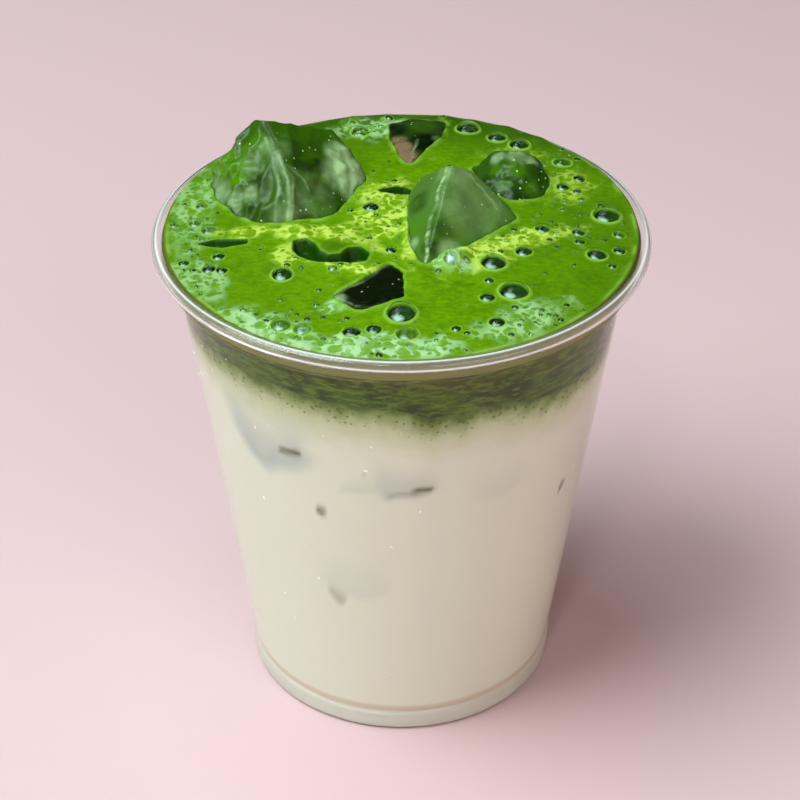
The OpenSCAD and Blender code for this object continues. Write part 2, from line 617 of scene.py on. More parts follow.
@dataclass(frozen=True)
class MatchaFroth:
    """Fresh matcha foam: a dense vivid green, pale where larger bubbles stand in nets."""

    vivid: str = "#588400"
    deep: str = "#3F6A00"
    bright: str = "#6A9A00"
    # Colour of the painted shade towards the back and the sides, and of the thin foam over the sunk chunk.
    shade: str = "#2F5404"
    lime: str = "#7A9E14"
    lime_wall: str = "#AAC650"
    mint: str = "#6C9C44"
    mint_wall: str = "#94BC84"
    # Dark liquid in the bubbles, slots and pockets, with painted shade in those hollows.
    pit: str = "#113604"
    glint: str = "#BEDAE0"
    film_edge: str = "#7CA838"
    wall_line: str = "#4E5A1C"
    rim_line: str = "#8DB04E"
    # Foam's side down the wall: a greyish olive for the foam seen through the collar, with the collar's
    # shade and reflections painted in.
    side: str = "#9A9660"

    # Bubbles of the lace: how far apart they are, and how far their holes reach.
    LACE = ((2.6, 0.36), (1.3, 0.34))

    def make(self) -> bpy.types.Material:
        """Build the finish, which reads the paint that its maker left on the mesh.

        Returns:
            The material of the foam.
        """
        material, tree, shader = new_material("matcha_froth")
        place = add_node(tree, "ShaderNodeTexCoord").outputs["Object"]
        over = ("rim_line", "film_edge", "pit", "glint", "wall_line", "side")
        paints = {
            name: add_node(tree, "ShaderNodeAttribute", {"attribute_name": name}).outputs["Fac"]
            for name in ("lime", "mint", "shade", *over)
        }
        tone = add_node(
            tree,
            "ShaderNodeTexNoise",
            inputs={"Vector": place, "Scale": per_mm(5.0), "Detail": 6.0, "Roughness": 0.65},
        )
        # Streaks: the skin of the foam, drawn out sideways when it was poured.
        drawn = add_node(
            tree, "ShaderNodeMapping", inputs={"Vector": place, "Scale": (0.6, 1.0, 1.0)}
        )
        skin = add_node(
            tree,
            "ShaderNodeTexNoise",
            inputs={"Vector": drawn, "Scale": per_mm(0.8), "Detail": 5.0, "Roughness": 0.7},
        )
        layers = []
        for source, start, end, most, code in (
            (tone, 0.46, 0.66, 0.7, self.deep),
            (skin, 0.5, 0.72, 0.7, self.deep),
            (skin, 0.5, 0.3, 0.6, self.bright),
        ):
            inputs = {"Value": source, 1: start, 2: end, 4: most}
            layers.append((add_node(tree, "ShaderNodeMapRange", inputs=inputs), code))
        # Painted shade towards the back and the sides, and the thin foam over the sunk chunk.
        layers.append((paints["shade"], self.shade))
        # Lace: pale walls round bubbles of two sizes, thin where the bubbles crowd.
        warp = add_node(
            tree,
            "ShaderNodeTexNoise",
            inputs={"Vector": place, "Scale": per_mm(3.0), "Detail": 2.0},
        )
        shifted = add_node(
            tree,
            "ShaderNodeVectorMath",
            {"operation": "MULTIPLY_ADD"},
            {0: warp.outputs["Color"], 1: (1.6 * MM,) * 3, 2: place},
        )
        net = 1.0
        for size, hole in self.LACE:
            cells = add_node(
                tree, "ShaderNodeTexVoronoi", inputs={"Vector": shifted, "Scale": per_mm(size)}
            )
            wall = add_node(
                tree, "ShaderNodeMapRange", EASED, {"Value": cells, 1: hole, 2: hole + 0.18}
            )
            net = add_node(tree, "ShaderNodeMath", {"operation": "MULTIPLY"}, {0: wall, 1: net})
        cloud = add_node(
            tree,
            "ShaderNodeTexNoise",
            inputs={"Vector": shifted, "Scale": per_mm(2.6), "Detail": 4.0},
        )
        patchy = add_node(
            tree, "ShaderNodeMapRange", EASED, {"Value": cloud, 1: 0.4, 2: 0.62, 3: 0.25}
        )
        clot = add_node(
            tree, "ShaderNodeMapRange", EASED, {"Value": cloud, 1: 0.54, 2: 0.7, 4: 0.7}
        )
        lace = add_node(tree, "ShaderNodeMath", {"operation": "MAXIMUM"}, {0: clot, 1: net})
        for name, cover, code in (
            ("lime", patchy, self.lime),
            ("lime", lace, self.lime_wall),
            ("mint", patchy, self.mint),
            ("mint", lace, self.mint_wall),
        ):
            inputs = {0: paints[name], 1: cover}
            layers.append((add_node(tree, "ShaderNodeMath", CLAMPED_PRODUCT, inputs), code))
        layers += [(paints[name], getattr(self, name)) for name in over]
        froth = add_node(
            tree, "ShaderNodeMath", {"operation": "ADD"}, {0: paints["lime"], 1: paints["mint"]}
        )
        relief = add_node(
            tree, "ShaderNodeMath", {"operation": "MULTIPLY_ADD"}, {0: net, 1: froth, 2: tone}
        )
        bump = add_node(
            tree,
            "ShaderNodeBump",
            inputs={"Height": relief, "Strength": 0.5, "Distance": 0.25 * MM},
        )
        gloss = add_node(
            tree, "ShaderNodeMapRange", inputs={"Value": paints["pit"], 3: 0.55, 4: 0.15}
        )
        finish = {
            "Base Color": overlaid(tree, self.vivid, layers),
            "Roughness": gloss,
            "Normal": bump,
            "Specular IOR Level": 0.05,
        }
        feed(tree, shader, finish)
        return material


@dataclass(frozen=True)
class BubbleFilm:
    """Film of a foam bubble: water a few hundredths of a millimetre thick, all gloss."""

    tint: str = "#F2FAEC"

    def make(self) -> bpy.types.Material:
        """Build the finish.

        Returns:
            The material of the domes over the bubbles.
        """
        material, tree, shader = new_material("bubble_film")
        place = add_node(tree, "ShaderNodeTexCoord").outputs["Object"]
        drain = add_node(
            tree,
            "ShaderNodeTexNoise",
            inputs={"Vector": place, "Scale": per_mm(1.5), "Detail": 1.0},
        )
        rough = add_node(
            tree, "ShaderNodeMapRange", inputs={"Value": drain, 1: 0.3, 2: 0.7, 4: 0.08}
        )
        finish = {
            "Roughness": rough,
            "Base Color": linear(self.tint),
            "Transmission Weight": 1.0,
            "IOR": 1.16,
        }
        feed(tree, shader, finish)
        return material


class IceLook(Enum):
    """How a chunk of ice looks: its clear colour, its dark colour and how much it lets through."""

    FROSTED = ("#4F7C2A", "#203F04", 0.35)
    MISTY = ("#315A06", "#203F06", 0.3)
    WET = ("#2A520A", "#153603", 0.2)
    DARK = ("#2A4A10", "#0A1C03", 0.5)


@dataclass(frozen=True)
class MeltingIce:
    """Cloudy ice in matcha: wet and glassy, with frost, trapped air and green light inside."""

    look: IceLook
    frost: str = "#A0C488"
    lime: str = "#4F8604"
    crease: str = "#A9CC92"
    brown: str = "#A08462"
    # Colour of the painted glints on the air bubbles.
    sparkle: str = "#C4D8B8"

    def make(self) -> bpy.types.Material:
        """Build the finish, which reads the paint that its maker left on the mesh.

        Returns:
            The material of one chunk.
        """
        clear, dark, through = self.look.value
        material, tree, shader = new_material("melting_ice_" + self.look.name.lower())
        place = add_node(tree, "ShaderNodeTexCoord").outputs["Object"]
        clouds = add_node(
            tree,
            "ShaderNodeTexNoise",
            inputs={"Vector": place, "Scale": per_mm(2.6), "Detail": 6.0, "Roughness": 0.62},
        )
        uneven = add_node(
            tree,
            "ShaderNodeMapRange",
            inputs={"Value": clouds, 1: 0.35, 2: 0.65, 3: 0.6, 4: 1.45},
        )
        codes = {
            "dark": dark,
            "lime": self.lime,
            "brown": self.brown,
            "frost": self.frost,
            "crease": self.crease,
        }
        paints = {
            name: add_node(tree, "ShaderNodeAttribute", {"attribute_name": name}).outputs["Fac"]
            for name in codes
        }
        layers = []
        for name, code in codes.items():
            inputs = {0: paints[name], 1: uneven}
            layers.append((add_node(tree, "ShaderNodeMath", CLAMPED_PRODUCT, inputs), code))
        # Sparkles: painted glints, pale dots up to 0.5 mm across in about a third of cells, on air bubbles
        # under the skin.
        air = add_node(
            tree, "ShaderNodeTexVoronoi", inputs={"Vector": place, "Scale": per_mm(1.5)}
        )
        bead = add_node(
            tree, "ShaderNodeMapRange", EASED, {"Value": air, 1: 0.09, 2: 0.16, 3: 1.0, 4: 0.0}
        )
        chosen = add_node(
            tree, "ShaderNodeMath", {"operation": "GREATER_THAN"}, {0: air.outputs["Color"], 1: 0.62}
        )
        sparkle = add_node(tree, "ShaderNodeMath", {"operation": "MULTIPLY"}, {0: bead, 1: chosen})
        layers.append((sparkle, self.sparkle))
        rough = add_node(
            tree, "ShaderNodeMapRange", inputs={"Value": paints["frost"], 3: 0.22, 4: 0.5}
        )
        bump = add_node(
            tree,
            "ShaderNodeBump",
            inputs={"Height": clouds, "Strength": 0.35, "Distance": 0.4 * MM},
        )
        finish = {
            "Base Color": overlaid(tree, clear, layers),
            "Roughness": rough,
            "Normal": bump,
            "Transmission Weight": through,
            "IOR": 1.31,
            "Specular IOR Level": 0.35,
        }
        feed(tree, shader, finish)
        return material


@dataclass(frozen=True)
class CondensedWater:
    """Dew on a cold cup: clear still water."""

    tint: str = "#F4F6F0"

    def make(self) -> bpy.types.Material:
        """Build the finish.

        Returns:
            The material of the droplets.
        """
        material, tree, shader = new_material("condensed_water")
        place = add_node(tree, "ShaderNodeTexCoord").outputs["Object"]
        ripple = add_node(
            tree, "ShaderNodeTexNoise", inputs={"Vector": place, "Scale": per_mm(0.8)}
        )
        bump = add_node(
            tree,
            "ShaderNodeBump",
            inputs={"Height": ripple, "Strength": 0.1, "Distance": 0.05 * MM},
        )
        finish = {
            "Normal": bump,
            "Base Color": linear(self.tint),
            "Transmission Weight": 0.1,
            "IOR": 1.33,
            "Roughness": 0.2,
        }
        feed(tree, shader, finish)
        return material


@dataclass(frozen=True)
class PaleFloor:
    """Plain painted board: matt and pale, with the faint tooth of rolled paint."""

    colour: str = "#CEB2B4"

    def make(self) -> bpy.types.Material:
        """Build the finish.

        Returns:
            The material of the floor.
        """
        material, tree, shader = new_material("painted_board")
        place = add_node(tree, "ShaderNodeTexCoord").outputs["Object"]
        tooth = add_node(
            tree, "ShaderNodeTexNoise", inputs={"Vector": place, "Scale": per_mm(1.2)}
        )
        bump = add_node(
            tree,
            "ShaderNodeBump",
            inputs={"Height": tooth, "Strength": 0.05, "Distance": 0.05 * MM},
        )
        finish = {
            "Normal": bump,
            "Base Color": linear(self.colour),
            "Roughness": 0.7,
            "Specular IOR Level": 0.2,
        }
        feed(tree, shader, finish)
        return material


# ----------------------------------------------------------------- the cup


@dataclass(frozen=True)
class CupShape:
    """Profile of the formed cup, from the frame's box and the sheet's own sizes."""

    rim_r: float
    height: float
    wall: float = 0.5
    bead_r: float = 1.3
    collar_h: float = 4.1
    collar_step: float = 2.4
    shoulder_h: float = 1.5
    heel_h: float = 5.0
    heel_step: float = 0.35
    crease_h: float = 0.5
    foot_r: float = 32.6
    foot_ring: float = 3.0
    foot_round: float = 1.1
    push_up: float = 3.0
    brim_gap: float = 0.6
    corner: float = 0.6

    # How many of the inner face's points come before its wall: the floor and the foot.
    FOOT_POINTS = 7

    @classmethod
    def from_frame(cls) -> "CupShape":
        """Shape whose rim and height are those of the frame's cup."""
        low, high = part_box("cup")
        return cls(rim_r=(high.x - low.x) / 2 / MM, height=high.z / MM)

    @property
    def bead_x(self) -> float:
        """Distance of the bead's middle from the axis."""
        return self.rim_r - self.bead_r

    @property
    def bead_z(self) -> float:
        """Height of the bead's middle."""
        return self.height - self.bead_r

    @property
    def brim_z(self) -> float:
        """Height at which the foam meets the plastic."""
        return self.height - self.brim_gap

    def brim_angle(self, bead_r: float) -> float:
        """Angle on a bead of the given radius at which the brim lies."""
        return 180 - math.degrees(math.asin((self.brim_z - self.bead_z) / bead_r))

    def wall_line(self, inward: float) -> list[Point]:
        """Outer face of the wall, from the heel up to the collar.

        Args:
            inward: how far in from that face the line lies.

        Returns:
            Distances from the axis and heights.
        """
        collar_r = self.bead_x - self.bead_r + self.wall - inward
        taper_foot_r = self.foot_r - self.heel_step - inward
        collar_z = self.bead_z - self.collar_h
        return [
            (self.foot_r - inward, self.heel_h - self.crease_h),
            (taper_foot_r, self.heel_h),
            (collar_r - self.collar_step, collar_z - self.shoulder_h),
            (collar_r, collar_z),
        ]

    def inner_face(self, into: float = 0.0) -> list[Point]:
        """Inner face of the plastic, from the middle of the floor up to the brim.

        Args:
            into: how far into the sheet the line lies.

        Returns:
            Distances from the axis and heights.
        """
        ring_r = self.foot_r - self.foot_ring
        bead_r = self.bead_r - into
        return [
            (0.0, self.push_up + self.wall - into),
            (ring_r - self.wall - into, self.push_up + self.wall - into),
            (ring_r + self.wall / 2 - into, self.wall - into),
            *arc(
                self.foot_r - self.foot_round,
                self.foot_round,
                self.foot_round - self.wall + into,
                -90,
                0,
                4,
            ),
            *self.wall_line(self.wall - into),
            *arc(self.bead_x, self.bead_z, bead_r, 180, self.brim_angle(bead_r), 4),
        ]

    def shell(self) -> list[Point]:
        """Line round the whole sheet, with the rolled rim.

        Returns:
            Distances from the axis and heights, from axis to axis.
        """
        ring_r = self.foot_r - self.foot_ring
        inner = self.inner_face()
        rim = [
            *arc(self.bead_x, self.bead_z, self.bead_r, 120, -60, 22),
            *arc(self.bead_x, self.bead_z, self.bead_r - self.wall, -60, 180, 24),
        ]
        outer = [
            *reversed(self.wall_line(0.0)),
            *arc(self.foot_r - self.foot_round, self.foot_round, self.foot_round, 0, -90, 6),
            (ring_r, 0.0),
            (ring_r - 1.5 * self.wall, self.push_up),
            (0.0, self.push_up),
        ]
        return eased([*inner, *rim, *outer], self.corner)

    def wall_radius(self, z: np.ndarray, into: float) -> np.ndarray:
        """Distance of the wall's inner face from the axis at the heights given."""
        line = self.inner_face(into)[self.FOOT_POINTS :]
        return np.interp(z, [p[1] for p in line], [p[0] for p in line])


@dataclass
class Cup:
    """The clear cup: one formed sheet with a rolled rim."""

    shape: CupShape
    steps: int = 192
    # Angles on the bead of the two painted reflections, and how wide they are.
    gleam_at: tuple[float, ...] = (74.0, -6.0)
    gleam_width: float = 9.0
    # Least strength of the painted reflection over the bead's outside.
    least_gleam: float = 0.07
    skin: tuple[float, float] = (0.3, 0.1)
    inward: float = 0.6
    crisp: float = 50.0

    def build(self) -> None:
        """Spin the sheet's line, paint two pale lines of painted reflection along its bead and dress it."""
        shell = spun("cup_shell", self.shape.shell(), self.steps)
        points = points_of(shell)
        out = plan_length(points) - self.shape.bead_x
        up = points[:, 2] - self.shape.bead_z
        around = np.degrees(np.arctan2(up, out))
        deep, shallow = (self.shape.bead_r - depth for depth in self.skin)
        outside = ramp(np.hypot(out, up), deep, shallow) * (out > -self.inward)
        lines = [np.exp(-(((around - at) / self.gleam_width) ** 2)) for at in self.gleam_at]
        paint(shell, "gleam", outside * np.maximum(self.least_gleam, np.max(lines, axis=0)))
        smooth(shell, self.crisp)
        settle(shell, ClearPet().make(), "cup")


# ------------------------------------------------------------ milk and matcha


@dataclass(frozen=True)
class MatchaEdge:
    """Wavy line on the wall where the matcha gives way to milk: heights by angle.

    Angles run from the front, with the right positive, and the heights wander round the
    frame's sloping face.
    """

    knots: tuple[Point, ...] = (
        (-180, 88.5),
        (-130, 89.3),
        (-90, 90.0),
        (-58, 90.6),
        (-30, 90.3),
        (-12, 89.8),
        (0, 88.6),
        (9, 87.0),
        (20, 88.0),
        (27, 87.8),
        (36, 85.8),
        (57, 85.2),
        (90, 85.8),
        (140, 87.2),
        (180, 88.5),
    )

    ripple: float = 0.45
    ripples_r: float = 9.0

    @property
    def back(self) -> float:
        """Height of the line at the very back."""
        return self.knots[0][1]

    def at(self, angle: np.ndarray) -> np.ndarray:
        """Follow the line.

        Args:
            angle: angles in degrees.

        Returns:
            The line's height at each of them.
        """
        ring = np.radians(angle)
        x, y = self.ripples_r * np.cos(ring), self.ripples_r * np.sin(ring)
        return np.interp(angle, *zip(*self.knots)) + self.ripple * Grain(1.0, 11).at(x, y)


def front_angle(points: np.ndarray) -> np.ndarray:
    """Angle of each point round the axis, from the front, with the right positive."""
    return np.degrees(np.arctan2(points[:, 0], -points[:, 1]))


def bend_to_edge(
    layer: bpy.types.Object, shape: CupShape, edge: MatchaEdge, fixed: float, into: float
) -> tuple[np.ndarray, np.ndarray, np.ndarray, np.ndarray]:
    """Bend the flat face of a spun layer to the wavy edge, with its side kept on the wall.

    Args:
        layer: the milk or the matcha, with a flat face at the edge's height at the back.
        shape: the cup's profile.
        edge: the wavy edge.
        fixed: the height beyond which nothing moves.
        into: how far into the plastic the side lies.

    Returns:
        For each point its angle, its distance from the axis when spun, its bent height and
        the edge's height.
    """
    points = points_of(layer)
    angle, radius = front_angle(points), plan_length(points)
    line = edge.at(angle)
    share = ramp(points[:, 2], fixed, edge.back)
    bent = points[:, 2] + (line - edge.back) * share * ramp(radius, 0, WAVE_R)
    scale = shape.wall_radius(bent, into) / shape.wall_radius(points[:, 2], into)
    points[:, :2] *= scale[:, None]
    points[:, 2] = bent
    place_points(layer, points)
    return angle, radius, bent, line


@dataclass(frozen=True)
class SunkIce:
    """A patch where sunk ice shows through the milk: rounded below and fading upwards."""

    angle: float
    z: float
    across: float
    up: float
    left: float
    right: float
    strength: float
    soft: float = 0.9
    bend: float = 1.0

    def cover(self, run: np.ndarray, z: np.ndarray, radius: np.ndarray) -> np.ndarray:
        """How much the patch covers each point.

        Args:
            run: the points' angles from the front.
            z: their heights.
            radius: their distances from the axis.

        Returns:
            From 0 to the patch's strength.
        """
        wander = 1.1 * Grain(3.5, 41).at(np.radians(run) * radius, z)
        across = np.radians(run - self.angle) * radius
        slope = np.where(across < 0, self.left, self.right)
        edge = self.z + slope * (np.hypot(across, self.bend) - self.bend)
        above = z - edge + wander
        sides = ramp(np.abs(across) + wander, self.across, self.across * 0.45)
        low = ramp(above, -self.soft, self.soft)
        return self.strength * sides * low * ramp(above, self.up, 0.4)


@dataclass
class Milk:
    """The milk, from the foot ring up to the wavy edge of the matcha."""

    shape: CupShape
    edge: MatchaEdge
    into: float = 0.15
    steps: int = 360
    rise: float = 0.9
    bend_from: float = 70.0
    # Painted shade at the foot: the band it covers, how the heel's cool shade fades and where the crease's
    # warm line lies.
    foot_band: tuple[float, float] = (25.0, 31.0)
    heel_fade: tuple[float, float] = (0.5, -0.3)
    crease_shade_up: float = 0.45
    crease_shade_fade: tuple[float, float] = (0.75, 0.2)
    crease_shade_strength: float = 0.8
    crisp: float = 40.0
    shades: tuple[SunkIce, ...] = (
        SunkIce(-39, 67.5, 13.0, 18.0, 1.3, 0.6, 0.8, 2.4, 5.0),
        SunkIce(1, 66.5, 8.0, 10.0, 0.5, 0.6, 0.55, 1.6, 4.0),
        SunkIce(-12, 67.0, 5.0, 6.0, 0.0, 0.3, 0.3),
        SunkIce(-14, 38, 8.0, 14.0, 0.3, 0.3, 0.22),
        SunkIce(28, 64, 8.0, 9.0, 0.2, 0.2, 0.15),
        SunkIce(110, 66, 8.0, 8.0, 0.2, 0.5, 0.6),
        SunkIce(-120, 60, 7.0, 8.0, 0.6, 0.2, 0.6),
        SunkIce(175, 72, 7.0, 7.0, 0.3, 0.4, 0.6),
    )
    marks: tuple[SunkIce, ...] = (
        SunkIce(-31.0, 72.6, 2.4, 2.8, 0.0, 0.35, 1.1),
        SunkIce(-41, 69.0, 5.0, 3.0, 1.1, 0.7, 0.1, 1.2),
        SunkIce(6.0, 68.0, 2.6, 2.1, -0.4, 0.5, 1.1),
        SunkIce(0.5, 66.6, 5.0, 1.8, 0.2, 0.1, 0.4),
        SunkIce(-23, 59.4, 0.9, 3.6, 0.6, -0.6, 0.9),
        SunkIce(54.5, 55.5, 1.0, 5.0, -0.8, 0.8, 0.9),
        SunkIce(-20, 36.0, 1.6, 4.4, 0.9, -0.9, 0.4),
        SunkIce(-10, 72.0, 0.7, 2.5, -0.5, 0.5, 0.2),
        SunkIce(112, 63.0, 3.0, 1.8, -0.4, 0.4, 0.8),
        SunkIce(-122, 57.5, 2.6, 2.0, 0.4, -0.4, 0.8),
        SunkIce(172, 69.5, 3.0, 1.8, -0.2, 0.2, 0.8),
    )

    def build(self) -> None:
        """Spin the milk, bend its top to the matcha's edge and paint the sunk ice."""
        top = self.edge.back
        wall = [p for p in self.shape.inner_face(self.into) if p[1] < top]
        high = float(self.shape.wall_radius(np.array(top), self.into))
        profile = resampled([*wall, (high, top)], self.rise)
        profile += resampled([(high, top), (0.0, top)], COARSE)[1:]
        milk = spun("milk_body", profile, self.steps)
        angle, radius, bent, line = bend_to_edge(
            milk, self.shape, self.edge, self.bend_from, self.into
        )
        paint(milk, "below_matcha", line - bent)
        # Painted shade at the foot: a cool grey over the heel band and a warm line along the crease above
        # it.
        side = ramp(radius, *self.foot_band)
        start, end = (self.shape.heel_h + up for up in self.heel_fade)
        paint(milk, "heel", side * ramp(bent, start, end))
        step = np.abs(bent - self.shape.heel_h - self.crease_shade_up)
        paint(milk, "crease", self.crease_shade_strength * side * ramp(step, *self.crease_shade_fade))
        for name, patches in (("ice_shade", self.shades), ("ice_edge", self.marks)):
            covers = [patch.cover(angle, bent, radius) for patch in patches]
            paint(milk, name, np.max(covers, axis=0))
        smooth(milk, self.crisp)
        settle(milk, ColdMilk().make(), "milk")


@dataclass
class Matcha:
    """The dark layer of matcha between the milk and the foam."""

    shape: CupShape
    edge: MatchaEdge
    top: float
    into: float = 0.15
    steps: int = 300
    rise: float = 0.5
    bend_from: float = 96.0
    crisp: float = 60.0

    def build(self) -> None:
        """Spin the layer and bend its lower edge to the wavy line."""
        low = self.edge.back
        foot = float(self.shape.wall_radius(np.array(low), self.into))
        head = float(self.shape.wall_radius(np.array(self.top), self.into))
        inner = self.shape.inner_face(self.into)[self.shape.FOOT_POINTS :]
        wall = [p for p in inner if low < p[1] < self.top]
        profile = resampled([(0.0, low), (foot, low)], COARSE)
        profile += resampled([(foot, low), *wall, (head, self.top)], self.rise)[1:]
        profile += resampled([(head, self.top), (0.0, self.top)], COARSE)[1:]
        layer = spun("matcha_layer", profile, self.steps)
        _, _, bent, line = bend_to_edge(layer, self.shape, self.edge, self.bend_from, self.into)
        paint(layer, "over_milk", bent - line)
        smooth(layer, self.crisp)
        settle(layer, BrewedMatcha().make(), "matcha")


# --------------------------------------------------------------------- ice


@dataclass(frozen=True)
class Blot:
    """A soft patch painted on a chunk of ice."""

    paint: str
    x: float
    y: float
    z: float
    reach: float
    strength: float = 1.0

    # Where the patch ends and where it is full, as shares of its reach.
    RIM, CORE = 1.3, 0.45

    def cover(self, points: np.ndarray) -> np.ndarray:
        """How much the patch covers each point, from 0 to its strength."""
        away = np.linalg.norm(points - (self.x, self.y, self.z), axis=1)
        return self.strength * ramp(away, self.reach * self.RIM, self.reach * self.CORE)


@dataclass(frozen=True)
class Crease:
    """A bright fibrous ridge over a chunk of ice, along points in plan."""

    line: tuple[Point, ...]
    width: float = 0.5
    lift: float = 0.3
    fibre: float = 0.35
    beads: float = 0.0
    shine: float = 1.0


@dataclass
class IceChunk:
    """One chunk of ice: the frame's solid, melted, dented and painted."""

    node: str
    look: IceLook
    blots: tuple[Blot, ...] = ()
    creases: tuple[Crease, ...] = ()
    voxel: float = 0.4
    melt: int = 5
    dent: float = 0.45
    dent_size: float = 5.0
    crumple: float = 0.15
    sink: float = 0.0
    swell: float = 0.0
    seed: int = 1
    piece: bpy.types.Object | None = None

    PAINTS = ("dark", "lime", "brown", "frost", "crease", "relief")
    # Heights between which a sunk chunk's top is pushed down.
    SINK_OVER = (98, 103)
    # The fine dents' size and depth, and how much deeper dents are where the ice is crumpled.
    FINE_SIZE, FINE_DEPTH, ROUGHER = 1.1, 0.05, 3

    def build(self) -> None:
        """Melt the frame's solid, sculpt it and paint it."""
        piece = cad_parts[self.node].copy()
        piece.data = piece.data.copy()
        piece.parent = None
        for key in list(piece.keys()):
            del piece[key]
        bpy.context.scene.collection.objects.link(piece)
        piece.name = self.node + "_melted"
        self.piece = piece
        close_up(piece, 0.01)
        apply_modifier(piece, "REMESH", mode="VOXEL", voxel_size=self.voxel * MM)
        apply_modifier(piece, "SMOOTH", factor=0.5, iterations=self.melt)
        points, facing = points_of(piece), normals_of(piece)
        paints = {name: np.zeros(len(points)) for name in self.PAINTS}
        for blot in self.blots:
            paints[blot.paint] = np.maximum(paints[blot.paint], blot.cover(points))
        push = self.dents(points, paints.pop("relief"))
        for crease in self.creases:
            lift, shine = self.raised(points, facing, crease)
            push += lift
            paints["crease"] = np.maximum(paints["crease"], shine)
        points = points + facing * push[:, None]
        points[:, 2] -= self.sink * ramp(points[:, 2], *self.SINK_OVER)
        place_points(piece, points)
        for name, values in paints.items():
            paint(piece, name, values)
        smooth(piece)
        settle(piece, MeltingIce(self.look).make(), self.node)

    def dents(self, points: np.ndarray, relief: np.ndarray) -> np.ndarray:
        """How far melting moved each point along its normal.

        Args:
            points: the chunk's points.
            relief: how crumpled each one is.

        Returns:
            The distances in millimetres.
        """
        away = Vector((self.seed * 17.3, self.seed * 5.1, self.seed * 9.7))
        out = []
        for point, rough in zip(points, relief):
            spot = Vector(point) + away
            large = noise.noise(spot / self.dent_size)
            small = noise.noise(spot / (self.dent_size * 0.4))
            fine = noise.noise(spot / self.FINE_SIZE)
            more = 1 + self.ROUGHER * rough
            out.append(
                self.swell
                + self.dent * (0.3 - 1.2 * abs(large))
                + self.crumple * more * small
                + self.FINE_DEPTH * more * fine
            )
        return np.array(out)

    def raised(
        self, points: np.ndarray, facing: np.ndarray, crease: Crease
    ) -> tuple[np.ndarray, np.ndarray]:
        """Lift and shine of a crease.

        Args:
            points: the chunk's points.
            facing: the directions they face.
            crease: the line.

        Returns:
            How far each point is lifted and how bright it is.
        """
        nearest = np.full(len(points), 1e9)
        along, across = np.zeros(len(points)), np.zeros(len(points))
        run = 0.0
        for start, end in zip(crease.line, crease.line[1:]):
            a, b = np.array(start), np.array(end)
            length = math.dist(start, end)
            t = np.clip((points[:, :2] - a) @ (b - a) / length**2, 0, 1)
            off = points[:, :2] - a - t[:, None] * (b - a)
            away = np.linalg.norm(off, axis=1)
            closer = away < nearest
            side = np.sign(off @ np.array([b[1] - a[1], a[0] - b[0]]))
            nearest = np.where(closer, away, nearest)
            along = np.where(closer, run + t * length, along)
            across = np.where(closer, side * away, across)
            run += length
        across = across + 0.35 * Grain(2.2, self.seed).at(along, points[:, 2])
        band = ramp(np.abs(across), crease.width, crease.width * 0.15)
        band *= ramp(facing[:, 2], -0.1, 0.25)
        threads = 0.5 + 0.9 * Grain(1.0, self.seed + 50).at(across / crease.fibre, along / 3.5)
        threads = np.clip(threads, 0, 1)
        beads = 1 - crease.beads * (0.5 + 0.5 * np.sin(along * 5.2 + np.sin(along * 1.7) * 2))
        lift = crease.lift * band * (0.4 + 0.6 * threads)
        return lift * beads, crease.shine * band * (0.2 + 0.8 * threads) * beads

    def outline(self, level: float, bins: int = 96) -> np.ndarray:
        """Find the chunk's outline at a height.

        Args:
            level: the height.
            bins: how many points the outline gets.

        Returns:
            The outline's points in plan.
        """
        points = points_of(self.piece)
        ring = points[np.abs(points[:, 2] - level) < self.voxel]
        middle = (ring[:, :2].min(0) + ring[:, :2].max(0)) / 2
        off = ring[:, :2] - middle
        turn = np.arctan2(off[:, 1], off[:, 0])
        far = plan_length(off)
        slots = np.floor((turn + np.pi) / (2 * np.pi) * bins).astype(int) % bins
        used = [i for i in range(bins) if np.any(slots == i)]
        reach = np.array([far[slots == i].max() for i in used])
        angle = np.array([(i + 0.5) / bins * 2 * np.pi - np.pi for i in used])
        every = (np.arange(bins) + 0.5) / bins * 2 * np.pi - np.pi
        reach = np.interp(every, angle, reach, period=2 * np.pi)
        reach = (np.roll(reach, 1) + 2 * reach + np.roll(reach, -1)) / 4
        return middle + reach[:, None] * circle(every)


